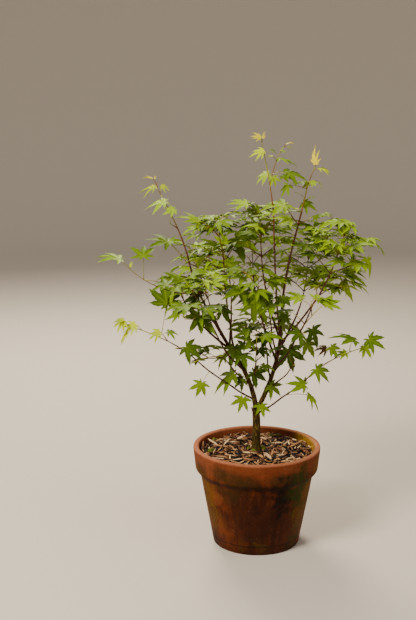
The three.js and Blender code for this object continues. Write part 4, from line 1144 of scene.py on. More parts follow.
def grow_wood(number, mass):
    """The stem of a mass, its side twigs with their finer twigs, and its leading shoot if it is loose."""
    space = Space(number)
    name, bough, *_, pairs, _, seed = mass
    loose = name in LOOSE
    bough_ends, _, bough_tip = limbs[bough]
    start, begin = heads(bough_ends, 1), bough_ends[2]
    beyond = unit(space.centre - begin)
    end = space.centre + beyond * STEM["reach"] * space.room(space.centre, beyond)
    length = np.linalg.norm(end - begin)
    stem = np.array([begin, begin + start * STEM["bend"] * length, end])
    stem_twig = add_twig(stem, bough_tip, STEM_TIP, -1)
    draw = seeded(seed)
    for k in range(pairs):
        share = between((STEM["lowest"], STEM["highest"]), (k + STEM["uneven"] * draw()) / pairs)
        node, way = along(stem, share), heads(stem, share)
        turn = math.radians(TWIG["first_turn"] * seed + TWIG["pair_turn"] * k + TWIG["turn"] * (draw() - 0.5))
        level = UP if abs(way[2]) < 0.9 else np.array([1.0, 0, 0])
        right = unit(np.cross(way, level))
        front = np.cross(way, right)
        for hand in (1, -1):
            out = hand * (right * math.cos(turn) + front * math.sin(turn))
            out = unit(out * [1, 1, TWIG["level"]])
            out = unit(out + way * TWIG["forward"] + UP * TWIG["lift"])
            room = space.room(node, out)
            reach = min(TWIG["longest"], TWIG["room_share"] * room) * between(TWIG["lengths"], draw())
            reach = min(reach * FINER["on"], FINER["longest"], FINER["part_room"] * room)
            mark, spray = seed * 1000 + 100 * (2 * k + (hand > 0)) + 7, (number, 2 * k + (hand > 0) + 1)
            if reach < TWIG["shortest"]:
                note_site(number, stem_twig, node, out, 0, 1, mark, spray)
                continue
            stands = (END_PAIR,) if loose or reach < FINER["pairs_from"] else (MIDDLE_PAIR, END_PAIR)
            stands = FULL_PAIRS if name in FULL else stands
            twig = grow_twig(space, number, stem_twig, node, out, reach, mark, spray, TWIG_RADII, stands)
            if twig is None or reach < FINER["side_from"]:
                continue
            side_node = node + out * reach * FINER["side_at"] + UP * TWIG["arch"] * reach / 2
            for side_hand in (1, -1):
                side_way = unit(turned_level(out, side_hand * FINER["side_turn"]) + FINER["side_lift"] * UP)
                side_room = FINER["side_room"] * space.room(side_node, side_way)
                side_reach = min(reach * FINER["side_share"], side_room)
                if side_reach > TWIG["shortest"]:
                    side_mark = mark + 20 + 10 * (side_hand > 0)
                    grow_twig(space, number, twig, side_node, side_way, side_reach, side_mark, spray,
                              SIDE_RADII, SIDE_PAIR)
    for share, size in STEM_SITES:
        for hand in (1, -1):
            note_site(number, stem_twig, along(stem, share), heads(stem, share), STEM_SPREAD * hand, size,
                      seed * 1000 + int(900 * share) + hand, (number, 0))
    end_twig, tip, lead_way = stem_twig, stem[2], heads(stem, 1)
    lead = LOOSE.get(name, 0) * space.room(tip, lead_way)
    if lead > FINER["shortest_leader"]:
        bend = stem[2] + lead_way * lead / 2
        tip = bend + unit(lead_way + FINER["leader_up"] * UP) * lead / 2
        end_twig = add_twig(np.array([stem[2], bend, tip]), *SIDE_RADII, stem_twig)
        for hand in (1, -1):
            note_site(number, end_twig, tip, unit(tip - bend), LEADER_SPREAD * hand, LEADER_SIZE,
                      seed * 1000 + 980 + hand, (number, 0))
    note_site(number, end_twig, tip, lead_way, 0, 1, seed * 1000 + 991, (number, 0))


for number, mass in enumerate(MASSES):
    grow_wood(number, mass)


def along_many(ends, shares):
    """The same curve for many at once. ends: (curves, 3, 3); points: (curves, shares, 3)."""
    return along(ends.swapaxes(0, 1)[:, :, None], shares)


WOOD_STEPS = 24


def all_wood():
    """Points on the axes of all limbs and twigs, and the number of each point's twig, -1 for a limb."""
    lines = along_many(np.array([ends for ends, *_ in twigs]), np.linspace(0, 1, WOOD_STEPS)).reshape(-1, 3)
    owners = np.append(np.full(len(limb_points), -1), np.repeat(np.arange(len(twigs)), WOOD_STEPS))
    return np.concatenate([limb_points, lines]), owners


print("twigs:", len(twigs), "places for leaves:", len(sites))

# %% [markdown]
# Some leaves can be told one by one in the photograph. They are placed first, by the pixels where the stalk
# leaves the wood, where the blade starts and where its middle lobe ends. The stalk's root is the nearest
# wood behind that pixel, so each of them stands on its twig from any side, and the blade lies a little in
# front of it, or behind it where the wood hides its start. Five thin shoots are told in the same way, and
# grow out of the nearest wood too.

# %% Leaves told one by one
DEEP, MID, FRESH, GOLDEN = "leaves_deep", "leaves_mid", "leaves_fresh", "leaves_golden"
BUD, BROWNED = "leaves_bud", "leaves_browned"
FACING, LEVEL, OBLIQUE = (0.1, -1, 0.35), (0.05, -0.35, 1), (0, -0.8, 0.8)
UPRIGHT, HANGING, ON_EDGE = (-0.8, -0.55, 0.15), (0.8, -0.55, 0.15), (0.1, -0.12, 1)
TOLD_LEAVES = {
    # stalk's root, blade's start, tip of the middle lobe, how far that tip stands in front, facing, kind
    "fork_left": ((250, 397), (243, 398), (237, 414), 16, FACING, MID),
    "fork_right": ((257, 408), (261, 405), (264, 419), 14, OBLIQUE, MID),
    "fork_small": ((247, 386), (243, 379), (231, 388), 8, OBLIQUE, DEEP),
    "fork_pale": ((247, 380), (234, 374), (211, 387), 10, LEVEL, MID),
    "heart_facing": ((241, 366), (234, 347), (231, 370), 26, (-0.4, -1, 0.4), MID),
    "heart_behind": ((241, 366), (225, 356), (209, 364), -6, LEVEL, FRESH),
    "heart_left": ((252, 372), (257, 350), (244, 346), 6, LEVEL, DEEP),
    "heart_right": ((252, 372), (259, 350), (273, 355), 10, LEVEL, DEEP),
    "crotch_dark": ((252, 384), (253, 372), (268, 384), 12, OBLIQUE, DEEP),
    "crotch_up": ((254, 372), (262, 366), (276, 369), 8, LEVEL, MID),
    "limb_small": ((267, 386), (270, 385), (283, 395), 8, OBLIQUE, MID),
    "hang_right": ((284, 352), (288, 349), (297, 375), 14, FACING, DEEP),
    "big_right": ((301, 338), (312, 329), (321, 347), 16, OBLIQUE, DEEP),
    "big_right_low": ((301, 338), (306, 342), (315, 357), 10, OBLIQUE, MID),
    "beside_curled": ((333, 352), (331, 347), (339, 357), 8, OBLIQUE, MID),
    "bough_right_near": ((299, 385), (305, 385), (286, 380), 8, OBLIQUE, MID),
    "bough_right_far": ((321, 371), (316, 369), (332, 382), 10, OBLIQUE, MID),
    "long_stalk": ((286, 394), (308, 395), (323, 411), 4, (0.68, -0.2, 0.68), FRESH),
    "right_end_low": ((347, 356), (346, 353), (331, 357), 6, LEVEL, FRESH),
    "right_end": ((360, 346), (369, 339), (386, 351), 4, OBLIQUE, MID),
    "right_end_drop": ((360, 346), (364, 346), (374, 358), 4, OBLIQUE, FRESH),
    "right_end_up": ((350, 346), (355, 340), (331, 333), 2, ON_EDGE, MID),
    "low_tip": ((129, 322), (124, 320), (116, 335), 6, OBLIQUE, GOLDEN),
    "low_tip_out": ((129, 322), (124, 320), (112, 321), 2, LEVEL, GOLDEN),
    "low_second": ((142, 328), (136, 324), (122, 335), 8, OBLIQUE, GOLDEN),
    "low_drop": ((137, 325), (128, 333), (117, 344), 4, ON_EDGE, GOLDEN),
    "low_third": ((157, 336), (160, 331), (146, 342), 8, OBLIQUE, GOLDEN),
    "low_third_back": ((160, 338), (168, 332), (182, 334), -6, LEVEL, MID),
    "low_broad": ((176, 351), (186, 347), (203, 361), 12, OBLIQUE, DEEP),
    "low_drooping": ((208, 322), (200, 316), (186, 334), 10, FACING, MID),
    "low_hanging": ((207, 375), (202, 383), (195, 399), 10, FACING, MID),
    "left_broad": ((161, 334), (167, 304), (165, 276), -6, FACING, MID),
    "left_fold": ((185, 298), (178, 285), (155, 312), 6, (-0.75, -0.15, 0.63), FRESH),
    "left_upright": ((143, 282), (143.5, 257), (143, 241), -45, FACING, MID),
    "left_tip": ((121, 260), (120, 259), (92, 253), 2, ON_EDGE, FRESH),
    "left_bud": ((130, 269), (130, 267), (132, 260), 0, UPRIGHT, GOLDEN),
    "left_inner": ((185, 298), (181, 282), (161, 270), 8, LEVEL, MID),
    "left_narrow": ((190, 280), (190, 268), (173, 270), 6, ON_EDGE, FRESH),
    "arm_back": ((179, 254), (168, 242), (144, 235), 4, LEVEL, MID),
    "arm_back_right": ((179, 254), (169, 242), (182, 238), -4, LEVEL, MID),
    "wisp_top": ((155, 183), (152.5, 178.5), (141, 176), 2, ON_EDGE, BUD),
    "wisp_bud": ((155, 183), (155, 179), (155, 175), 0, UPRIGHT, BUD),
    "wisp_left": ((160, 192), (156.5, 186.5), (138, 191), 6, LEVEL, GOLDEN),
    "wisp_right": ((161, 193), (161, 185.5), (170, 191), 4, OBLIQUE, GOLDEN),
    "wisp_under": ((164, 203), (165, 201.5), (143, 206), 8, LEVEL, FRESH),
    "wisp_small": ((168, 220), (174, 209.5), (163, 215), 8, OBLIQUE, FRESH),
    "tier_left": ((203, 222), (199, 222), (177.5, 210), 10, LEVEL, FRESH),
    "tier_left_under": ((203, 226), (198, 227), (182, 232), 10, LEVEL, FRESH),
    "tier_left_pale": ((203, 236), (198, 236), (180, 233), 6, ON_EDGE, FRESH),
    "tier_top": ((250, 208), (247, 203.5), (226, 204.5), 8, LEVEL, FRESH),
    "tier_near": ((288, 208), (285, 205), (257, 205), 16, LEVEL, FRESH),
    "tier_near_under": ((294, 224), (291, 219.5), (268, 214), 14, LEVEL, FRESH),
    "tier_near_right": ((288, 208), (285, 206), (296, 207), 8, LEVEL, FRESH),
    "middle_broad": ((234, 246), (236, 239), (261, 256), 16, OBLIQUE, MID),
    "middle_dark": ((281, 300), (282, 297), (283, 312), 14, FACING, DEEP),
    "middle_left": ((218, 312), (221, 308), (230, 322), 12, OBLIQUE, DEEP),
    "middle_hanging": ((252, 305), (254, 301), (273, 326), 14, OBLIQUE, MID),
    "middle_low": ((268, 340), (269, 336), (248, 346), 12, LEVEL, DEEP),
    "right_hanging": ((362, 256), (367, 259), (371, 278), 6, HANGING, FRESH),
    "right_hanging_low": ((342, 278), (343, 281), (349, 299), 6, HANGING, FRESH),
    "right_edge": ((370, 246), (375, 243), (388, 253), -24, LEVEL, FRESH),
    "top_first": ((263, 142), (261, 138), (250, 134), 2, OBLIQUE, BUD),
    "top_second": ((263, 142), (263, 138.5), (264, 131), 0, UPRIGHT, BUD),
    "top_left_leaf": ((265, 153), (264, 150.5), (249, 156), 6, OBLIQUE, GOLDEN),
    "top_thin": ((265, 153), (271, 149.5), (278, 153), 0, ON_EDGE, FRESH),
    "top_thin_left": ((276, 160), (273, 156), (266, 156), 2, ON_EDGE, GOLDEN),
    "top_right_bud": ((284, 147), (286, 144), (296, 141), 4, ON_EDGE, BUD),
    "top_right_under": ((284, 147), (287, 146), (293, 148.5), 4, ON_EDGE, GOLDEN),
    "top_right_small": ((280, 152), (281, 150), (287, 152), 4, ON_EDGE, FRESH),
    "top_right_leaf": ((277, 161), (279, 158.5), (298, 162), 8, ON_EDGE, FRESH),
    "top_under_right": ((273, 175), (288, 173), (309, 177), 8, LEVEL, MID),
    "top_under_up": ((273, 175), (284, 170.5), (290, 171), 4, OBLIQUE, MID),
    "top_under_low": ((272, 180), (283, 176), (297, 180), 8, LEVEL, MID),
    "top_under_left": ((269, 178), (268, 173.5), (252, 182), 8, LEVEL, FRESH),
    "top_between": ((272, 184), (273, 177), (278, 187), 6, OBLIQUE, FRESH),
    "second_bud": ((316, 167), (316, 164.5), (314, 146.5), 0, UPRIGHT, BUD),
    "second_side": ((315, 171), (317.5, 168.5), (332, 169.5), 4, ON_EDGE, GOLDEN),
    "second_under": ((310, 182), (311, 182), (317, 187), 6, OBLIQUE, FRESH),
    "second_left": ((309, 185), (308, 183), (302, 187), 6, OBLIQUE, FRESH),
    "second_thin": ((310, 182), (318, 181), (324, 187), 2, (0.7, -0.1, 0.6), GOLDEN),
    "second_out": ((307, 189), (303, 182.5), (289, 183.5), 4, ON_EDGE, FRESH),
    "second_droop": ((306, 190), (288, 185), (279, 198), 8, (-0.6, -0.5, 0.4), MID),
    "second_bit": ((304, 199), (300, 194), (294, 191.5), 2, ON_EDGE, GOLDEN),
    "second_bit_right": ((304, 201), (310, 197), (317, 197), 2, ON_EDGE, MID),
    "second_low": ((303, 206), (304, 202.5), (317, 210.5), 8, (-0.5, -0.25, 0.75), MID),
    "second_bit_low": ((302, 212), (299, 209), (292, 208), 2, ON_EDGE, GOLDEN),
    "second_side_leaf": ((311, 217), (315, 216), (318, 223), 6, OBLIQUE, MID),
    "curled": ((333, 352), (326, 349), (314, 347), 6, OBLIQUE, BROWNED),
}
BEHIND = {
    # the ones whose blade starts behind the wood that carries it
    "wisp_left", "arm_back", "top_thin", "top_under_up", "top_under_left", "top_right_under", "second_bit",
    "second_left", "second_thin", "second_low", "heart_behind", "low_third_back", "right_end_low",
    "right_edge",
}
IN_FRONT = {
    # the ones carried by the wood that is nearest to the viewer there
    "tier_near", "tier_near_under", "tier_near_right", "middle_broad", "middle_dark", "middle_left",
    "middle_hanging", "middle_low", "tier_top",
}
TOLD_TWIGS = {
    # the pixels of its root, its bend and its tip
    "left_arm_end": ((188, 298), (147, 291), (120, 258.5)),
    "top_side_shoot": ((272, 185), (274.5, 158), (286, 144)),
    "second_end": ((308, 185), (312, 173), (316.5, 164.5)),
    "second_side_shoot": ((300, 224), (306, 220), (314, 216)),
    "top_behind": ((296, 224), (285, 208), (284, 200)),
}
TOLD_TWIG_RADII, BEND_IN_FRONT, TIP_IN_FRONT = (1.3, 0.7), 6, 16
STALK_REACH, ROOT_WITHIN, ROOT_FAR = 14, 5, 8
MOST_LEAVES, FAR_AWAY, BLADE_MIDDLE = 4000, 1e6, 0.4
leaf_middles = np.full((MOST_LEAVES, 3), FAR_AWAY)
leaves = []


def middle_of(leaf):
    """The middle of a blade, a share of its length from its base."""
    return leaf["base"] + BLADE_MIDDLE * leaf["length"] * leaf["forward"]


def keep_leaf(leaf):
    """Adds a leaf, and its middle to the ones that later leaves keep away from."""
    leaf_middles[len(leaves)] = middle_of(leaf)
    leaves.append(leaf)


for root_pixel, bend_pixel, tip_pixel in TOLD_TWIGS.values():
    wood_points, owners = all_wood()
    nearest = np.linalg.norm(pixel_of(wood_points) - root_pixel, axis=1).argmin()
    root = wood_points[nearest]
    bend, tip = place_at(bend_pixel, root[1] - BEND_IN_FRONT), place_at(tip_pixel, root[1] - TIP_IN_FRONT)
    add_twig(np.array([root, bend, tip]), *TOLD_TWIG_RADII, owners[nearest])

wood_points, owners = all_wood()
wood_pixels = pixel_of(wood_points)
for name, (root_pixel, base_pixel, tip_pixel, lean, facing, kind) in TOLD_LEAVES.items():
    far = np.linalg.norm(wood_pixels - root_pixel, axis=1)
    nearest = far.argmin()
    if name in IN_FRONT and far[nearest] < ROOT_WITHIN:
        nearest = np.where(far < ROOT_WITHIN, wood_points[:, 1], FAR_AWAY).argmin()
    root = wood_points[nearest]
    base = place_at(base_pixel, root[1] + (STALK_REACH if name in BEHIND else -STALK_REACH))
    tip = place_at(tip_pixel, base[1] - lean)
    forward = unit(tip - base)
    normal = unit(facing - (facing @ forward) * forward)
    if far[nearest] > ROOT_FAR:
        print(f"{name}: its root is {far[nearest]:.0f} pixels off the nearest wood")
    keep_leaf({"root": root, "base": base, "forward": forward, "normal": normal, "twig": owners[nearest],
               "length": np.linalg.norm(tip - base), "kind": kind})
told = len(leaves)
told_pixels = pixel_of(leaf_middles[:told])

# %% [markdown]
# The other leaves fill the noted places. A leaf leaves its twig on a stalk that leads out level. Its blade
# is nearly level too, hangs a little, and turns its face somewhat outwards lower down, as leaves do for
# light. That makes the flat, feathery tiers. A leaf is tried again, then skipped, if it would leave its
# space or the outline that the crown has in the photograph, fill one of the openings where the sky shows
# through, touch a limb, or crowd another. The sprays that stand out alone have only their told leaves. At
# the end each twig is cut back to its last leaf.

# %% Placing the other leaves
LEAF_OF_PART = 0.76
CROWN_OUTLINE = np.array([
    # pixels, clockwise from the upper left, without the shoots and sprays that stand out of it
    (182, 219), (200, 216), (220, 214), (226, 201), (245, 198), (259, 194), (274, 196), (286, 184),
    (306, 186), (313, 200), (331, 215), (349, 223), (357, 233), (381, 239), (386, 253), (375, 264),
    (373, 278), (362, 290), (345, 301), (336, 306), (318, 298), (301, 301), (285, 312), (287, 325),
    (308, 326), (324, 331), (326, 342), (311, 348), (287, 348), (275, 358), (270, 372), (259, 384),
    (247, 372), (240, 367), (212, 372), (208, 362), (180, 360), (175, 344), (203, 340), (220, 336),
    (200, 335), (186, 333), (184, 318), (170, 315), (152, 299), (148, 278), (160, 268), (176, 262),
    (178, 251), (166, 246), (144, 243), (143, 234), (171, 234), (180, 232),
], float)
OPEN_SKY = np.array([
    # the pixel of an opening's middle, and its radius
    (247, 261, 8), (260, 279, 9), (291, 318, 9), (311, 313, 12), (244, 246, 4),
], float)
TOLD_ONLY = (
    "low_left_spray", "low_right_spray", "left_arm_spray", "top_left_wisp", "centre_top_shoot",
    "right_top_shoot",
)
TOLD_SEEN, TOLD_DEPTH = 11, 20
SETTING = {
    "flatten": 0.35, "turn": 30, "stalk": (18, 36), "rise": (0.05, 0.4), "hang": (0.0, 0.3), "hang_low": 0.5,
    "size": (0.78, 1.12), "up": (1.0, 0.75), "out": 0.15, "out_low": 0.9, "tilt": 0.7, "level_above": 950,
    "tries": 9, "more_turn": 25, "shrink": 0.03, "inside": 0.97, "stand_out": 1.33, "clear": 1.2,
    "crowd": 0.36, "crowd_full": 0.26, "crowd_thin": 0.62,
}
BLADE_TEST = np.array([
    # a blade's outermost points, as shares of its length forward and aside
    [0, 0], [1, 0], [0.64, 0.59], [0.64, -0.59], [0, 0.62], [0, -0.62], [0.5, 0.2], [0.5, -0.2],
])
CROWN_HALF_WIDTH = 300
BRIGHT = {"out": 0.4, "height": 1.4, "luck": 0.3, "high_in_mass": 0.1, "behind": 0.25}
MID_FROM, FRESH_FROM = 1.16, 1.44


def inside_outline(pixels):
    """Whether pixels lie in the crown's outline: a ray to the right crosses it an odd number of times."""
    starts, ends = CROWN_OUTLINE, np.roll(CROWN_OUTLINE, -1, axis=0)
    column, row = pixels[:, :1], pixels[:, 1:]
    crosses = (starts[:, 1] > row) != (ends[:, 1] > row)
    share = (row - starts[:, 1]) / (ends[:, 1] - starts[:, 1] + 1e-9)
    at_column = starts[:, 0] + share * (ends[:, 0] - starts[:, 0])
    return bool(((crosses & (at_column > column)).sum(axis=1) % 2 == 1).all())


def in_open_sky(pixels):
    """Whether a pixel is nearer to the middle of one of the crown's openings than its radius."""
    far = np.linalg.norm(pixels[:, None] - OPEN_SKY[:, :2], axis=-1)
    return bool((far < OPEN_SKY[:, 2]).any())


def place_leaf(at, way, spread, share, part_leaf, draw, attempt):
    """Where one leaf would stand: its stalk's root, and the blade's base, forward way, normal and length."""
    s = SETTING
    level = np.array([way[0], way[1], s["flatten"] * way[2]])
    degrees = spread + (s["turn"] + s["more_turn"] * attempt) * (draw() - 0.5)
    level = unit(turned_level(level, degrees))
    stalk_way = unit(level + UP * between(s["rise"], draw()))
    base = at + stalk_way * between(s["stalk"], draw())
    length = LEAF_OF_PART * part_leaf * share * between(s["size"], draw()) * (1 - s["shrink"] * attempt)
    low = min(max(1 - base[2] / s["level_above"], 0), 1)
    forward = unit(level - UP * between((s["hang"][0], s["hang"][1] + s["hang_low"] * low), draw()))
    outward = unit(base * [1, 1, 0])
    normal = UP * between(s["up"], low) + outward * (s["out"] + s["out_low"] * low)
    normal = normal + [s["tilt"] * (draw() - 0.5), s["tilt"] * (draw() - 0.5), 0]
    normal = unit(normal - (normal @ forward) * forward)
    return {"root": at, "base": base, "forward": forward, "normal": normal, "length": length}


def kind_of(number, spray, base):
    """Fresh, mid or deep, by how far out, high up and far back a leaf is, and by its spray's luck."""
    luck = seeded(977 * number + 31 * spray[1] + 5)()
    out = np.linalg.norm(base[:2]) / CROWN_HALF_WIDTH
    high = (base[2] - mass_centres[number][2]) / mass_halves[number][2]
    # painted light and shade: paler kinds farther out, higher up and farther back, towards the light; darker
    # ones low, inside and in front, in the crown's shade
    bright = BRIGHT["out"] * out + BRIGHT["height"] * base[2] * MM + BRIGHT["luck"] * luck
    bright += BRIGHT["high_in_mass"] * high + BRIGHT["behind"] * base[1] / CROWN_HALF_WIDTH
    return FRESH if bright > FRESH_FROM else (MID if bright > MID_FROM else DEEP)


spaces = [Space(number) for number in range(len(MASSES))]
for number, twig, at, way, spread, share, mark, spray in sites:
    space, name = spaces[number], MASSES[number][0]
    if name in TOLD_ONLY:
        continue
    crowd = SETTING["crowd_full" if name in FULL else "crowd_thin" if name in THIN else "crowd"]
    for attempt in range(SETTING["tries"]):
        leaf = place_leaf(at, way, spread, share, MASSES[number][5], seeded(mark * 10 + attempt), attempt)
        side = np.cross(leaf["normal"], leaf["forward"])
        blade = leaf["base"] + leaf["length"] * (BLADE_TEST @ np.stack([leaf["forward"], side]))
        middle = middle_of(leaf)
        if not space.holds(middle, SETTING["inside"]) or not space.holds(blade, SETTING["stand_out"]):
            continue
        if not clear_of_limbs(blade, SETTING["clear"]):
            continue
        pixels = pixel_of(np.stack([middle, blade[1]]))
        if not inside_outline(pixels) or in_open_sky(pixels):
            continue
        beside_told = np.linalg.norm(told_pixels - pixels[0], axis=1) < TOLD_SEEN
        if (beside_told & (leaf_middles[:told, 1] > middle[1] - TOLD_DEPTH)).any():
            continue
        if np.linalg.norm(leaf_middles[: len(leaves)] - middle, axis=1).min() < crowd * leaf["length"]:
            continue
        leaf["kind"], leaf["twig"] = kind_of(number, spray, leaf["base"]), twig
        keep_leaf(leaf)
        break
reached = {number: 0.0 for number, carrier in enumerate(carriers) if carrier < 0}


def reach_to(twig, place):
    """Notes that a twig, and so its carriers, has to reach a place: its nearest point gives the share."""
    while twig >= 0:
        ends = twigs[twig][0]
        line = along(ends, np.linspace(0, 1, WOOD_STEPS))
        share = min(1, (np.linalg.norm(line - place, axis=1).argmin() + 0.6) / (WOOD_STEPS - 1))
        reached[twig] = max(reached.get(twig, 0), share)
        twig, place = carriers[twig], ends[0]


for leaf in leaves:
    reach_to(leaf["twig"], leaf["root"])
twig_ends, twig_radii = [], []
for number, share in reached.items():
    if share == 0:
        continue
    (begin, bend, tip), first, last = twigs[number]
    cut = along(np.array([begin, bend, tip]), share)
    twig_ends.append([begin, begin + (bend - begin) * share, cut])
    twig_radii.append([first, first + (last - first) * share])
twig_ends, twig_radii = np.array(twig_ends), np.array(twig_radii)
print("twigs that bear leaves:", len(reached), "of", len(twigs))
print("leaves:", len(leaves))

# %% [markdown]
# Twigs and stalks are all the same kind of shape, so each lot is made in one go as tubes with few sides. An
# attribute runs from 0 at a twig's root to 1 at its tip, and the finish turns from red-brown wood to
# yellow-green shoot by it.

# %% Twigs and stalks
TWIG_SIDES, TWIG_RINGS, TWIG_NODE_SWELL = 6, 9, 0.25
STALK_SIDES, STALK_RINGS = 5, 7
STALK_RADII, STALK_FOOT = (0.85, 0.55), 1.5
STALK_ARCH = 0.10

shares = np.linspace(0, 1, TWIG_RINGS)
twig_lines = along_many(twig_ends, shares)
twig_widths = twig_radii[:, :1] + (twig_radii[:, 1:] - twig_radii[:, :1]) * shares
twig_widths = twig_widths * (1 + TWIG_NODE_SWELL * (np.arange(TWIG_RINGS) % 4 == 3))
points, faces = tubes(twig_lines, twig_widths, TWIG_SIDES)
twig_heap = Heap()
twig_heap.add(points, faces, age=np.broadcast_to(np.repeat(shares, TWIG_SIDES), points.shape[:2]))

twig_skin = Finish("young_twigs", roughness=0.6, specular=0.2)
high, age = twig_skin.height(), twig_skin.attribute("age")
# red wood paler higher up: partly younger wood, partly painted light on the lit top of the crown
red = twig_skin.mix(twig_skin.between(high, 0.7, 1.0), srgb(66, 32, 18), srgb(118, 60, 22))
green = twig_skin.mix(twig_skin.noise(40, 2), srgb(112, 104, 14), srgb(140, 108, 24))
green = twig_skin.mix(twig_skin.between(age, 0.55, 1.0), green, srgb(156, 160, 24))
young = twig_skin.sum("MAXIMUM", twig_skin.between(age, 0.25, 1.0), twig_skin.between(high, 0.99, 1.07))
twig_skin.colour(twig_skin.mix(young, red, green))
twig_skin.bump(twig_skin.noise(300, 3, stretch=(1, 1, 0.4)), 0.0005)
stand(twig_heap.mesh("crown_twigs", twig_skin), "young_bark", *[mass[0] for mass in MASSES])

roots, bases, forwards, normals, lengths, leaf_kinds = (
    np.array([leaf[part] for leaf in leaves])
    for part in ("root", "base", "forward", "normal", "length", "kind"))
stalk_lengths = np.linalg.norm(bases - roots, axis=1, keepdims=True)
middles = (roots + bases) / 2 + UP * STALK_ARCH * stalk_lengths
stalk_lines = along_many(np.stack([roots, middles, bases + forwards], axis=1), np.linspace(0, 1, STALK_RINGS))
stalk_widths = np.broadcast_to(np.linspace(*STALK_RADII, STALK_RINGS), (len(leaves), STALK_RINGS)).copy()
stalk_widths[:, 0] *= STALK_FOOT
stalk_heap = Heap()
stalk_heap.add(*tubes(stalk_lines, stalk_widths, STALK_SIDES))
stalk_finish = Finish("leaf_stalks", roughness=0.5, specular=0.25)
stalk_finish.mottled(22, 3, (0.4, srgb(124, 126, 16)), (0.6, srgb(146, 92, 24)))
stand(stalk_heap.mesh("leaf_stalks", stalk_finish), "foliage")

# %% [markdown]
# One leaf is a hand of seven pointed lobes with toothed edges. It is worked out in its lobes' own terms:
# every point has a lobe, a share of the way along that lobe and a share across it. So one set of 42 faces
# makes all the leaves, and each leaf can have its own lobe lengths, slimness, fold along the ribs and droop
# of the tips.

# %% Leaf shape
LOBES = [(-128, 0.32), (-86, 0.62), (-42, 0.88), (0, 1.0), (42, 0.88), (86, 0.62), (128, 0.32)]
NOTCHES = [0.18, 0.28, 0.34, 0.34, 0.28, 0.18]
TEETH = [(0.50, 0.165), (0.57, 0.125), (0.74, 0.106), (0.80, 0.056)]
RIB_AT = 0.52


def leaf_plan():
    """The points of one leaf as rows of lobe, turn, along, across, length and rib, and its faces. Point 0 is
    the stalk's end. Each lobe adds its rib's middle, its right edge, its tip and its left edge, with notches
    between."""
    rows, quads, triangles = [(3, 0, 0, 0, 1, 1)], [], []
    notch_rows = {}
    for number, reach in enumerate(NOTCHES):
        turn = (LOBES[number][0] + LOBES[number + 1][0]) / 2
        notch_rows[number] = len(rows)
        rows.append((number, turn, reach, 0, 1, 0))
    for number, (turn, length) in enumerate(LOBES):
        rib = len(rows)
        rows.append((number, turn, RIB_AT, 0, length, 1))
        right = [len(rows) + i for i in range(4)]
        rows += [(number, turn, u, -v, length, 0) for u, v in TEETH]
        tip = len(rows)
        rows.append((number, turn, 1, 0, length, 1))
        left = [len(rows) + i for i in range(4)]
        rows += [(number, turn, u, v, length, 0) for u, v in TEETH]
        before, after = notch_rows.get(number - 1), notch_rows.get(number)
        if before is None:
            triangles.append((0, right[0], rib))
        else:
            quads.append((0, before, right[0], rib))
        if after is None:
            triangles.append((0, rib, left[0]))
        else:
            quads.append((0, rib, left[0], after))
        quads += [(rib, right[0], right[1], right[2]), (rib, right[2], right[3], tip)]
        quads += [(rib, left[2], left[1], left[0]), (rib, tip, left[3], left[2])]
    return np.array(rows, float), [np.array(quads), np.array(triangles)]


LEAF_ROWS, LEAF_FACES = leaf_plan()
print("a leaf has", sum(len(rows) for rows in LEAF_FACES), "faces")


def leaf_blades(bases, forwards, normals, lengths, slim, curl, seed):
    """Blades of many leaves. In its own plane a point is along (cos t, sin t) + across (-sin t, cos t),
    where t is its lobe's turn. It is raised by fold times its distance from the rib, and lowered by droop
    times the square of its distance from the stalk, by a different amount for each lobe. Young leaves are
    slimmer, and curl adds droop."""
    draw = np.random.default_rng(seed)
    count = len(bases)
    lobe, turn, u, v, reach, rib = LEAF_ROWS.T

    def by_lobe(low, high):
        """One random number for each lobe of each leaf, given to all the lobe's points."""
        return draw.uniform(low, high, (count, len(LOBES)))[:, lobe.astype(int)]

    turn = np.radians((turn + by_lobe(-6, 6)) * (1 - 0.2 * slim))
    notch = (rib == 0) & (v == 0)
    reach = reach * (1 + by_lobe(-0.12, 0.10))
    u, v = u * reach, v * reach * draw.uniform(0.85, 1.2, (count, 1)) * (1 - 0.25 * slim)
    v = v * (1 + draw.uniform(-0.12, 0.12, v.shape))
    x = u * np.cos(turn) - v * np.sin(turn)
    y = u * np.sin(turn) + v * np.cos(turn)
    droop = draw.uniform(0.05, 0.34, (count, 1)) + by_lobe(-0.16, 0.16) + curl
    fold = draw.uniform(0.15, 0.55, (count, 1)) + 0.2 * slim + 0.8 * curl
    twist = draw.uniform(-0.2, 0.2, (count, 1))
    z = fold * np.abs(v) + 0.035 * notch - droop * u * u + twist * x * y
    z = z + draw.uniform(-0.008, 0.008, z.shape)
    sides = np.cross(normals, forwards)
    blade = x[..., None] * forwards[:, None] + y[..., None] * sides[:, None] + z[..., None] * normals[:, None]
    return bases[:, None] + lengths[:, None, None] * blade


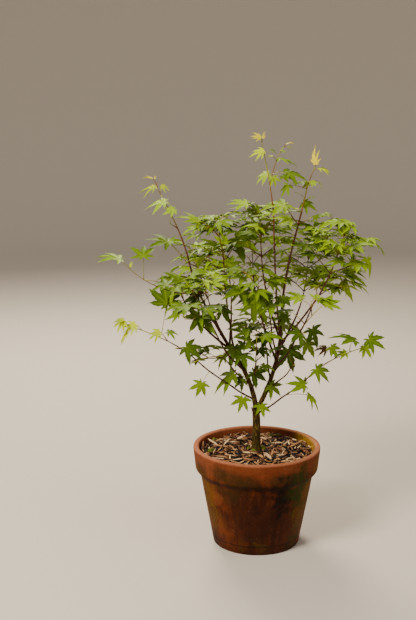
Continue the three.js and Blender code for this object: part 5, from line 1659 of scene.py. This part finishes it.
# %% [markdown]
# Colour goes by leaf, and the leaves of a spray are mostly of one kind, so that the crown has broad patches
# of deep, mid and fresh green. They come partly from the age of the shoots and partly are painted light and
# shade: a leaf gets a paler kind the farther out, the higher and the farther back it stands, towards the
# light, and a darker one low down, inside and in front, in the crown's shade. Shoot tips are yellow-green to
# gold, and one leaf has browned and curled.

# %% Leaf colours and the crown
LEAF_KINDS = {
    # blade, paler rib, roughness, slimness, curl
    DEEP: (srgb(64, 86, 2), srgb(112, 128, 30), 0.6, 0, 0),
    MID: (srgb(98, 122, 3), srgb(142, 158, 38), 0.58, 0, 0),
    FRESH: (srgb(138, 164, 6), srgb(178, 190, 56), 0.56, 0.2, 0),
    GOLDEN: (srgb(176, 188, 1), srgb(196, 202, 22), 0.56, 1.6, 0.05),
    BUD: (srgb(214, 194, 18), srgb(226, 208, 64), 0.56, 1.8, 0.03),
    BROWNED: (srgb(70, 42, 16), srgb(110, 78, 36), 0.7, 0.4, 0.9),
}
SHADED = (0.60, 0.66, 0.5, 1)
leaf_shades = np.random.default_rng(5).uniform(0, 1, len(leaves))
for seed, (name, (blade_colour, rib_colour, roughness, slim, curl)) in enumerate(LEAF_KINDS.items()):
    own = leaf_kinds == name
    print(name, int(own.sum()), "leaves")
    blades = leaf_blades(bases[own], forwards[own], normals[own], lengths[own], slim, curl, 60 + seed)
    ribs = np.broadcast_to(LEAF_ROWS[:, 5], blades.shape[:2])
    heap = Heap()
    heap.add(blades, LEAF_FACES, shade=leaf_shades[own], rib=ribs)
    leaf = Finish(name, roughness=roughness, specular=0.09)
    tone = leaf.sum("ADD", leaf.times(leaf.attribute("shade"), 0.7), leaf.times(leaf.noise(55, 3), 0.6))
    darker = leaf.mix(1.0, blade_colour, SHADED, "MULTIPLY")
    leaf.painted = leaf.mix(leaf.between(tone, 0.15, 0.95), darker, blade_colour)
    leaf.paint(rib_colour, leaf.sum("POWER", leaf.attribute("rib"), 7.0), 0.55)
    leaf.colour(leaf.painted)
    leaf.bump(leaf.noise(420, 3), 0.0006, 0.5)
    stand(heap.mesh(name, leaf), "foliage")

# %% [markdown]
# The last cell prints the frame's own box and the dressed plant's box, side by side.

# %% Measure and finish
sizes = [[[round(float(value), 5) for value in corner] for corner in box] for box in (cad_box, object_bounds())]
print("frame box and dressed box:", sizes)
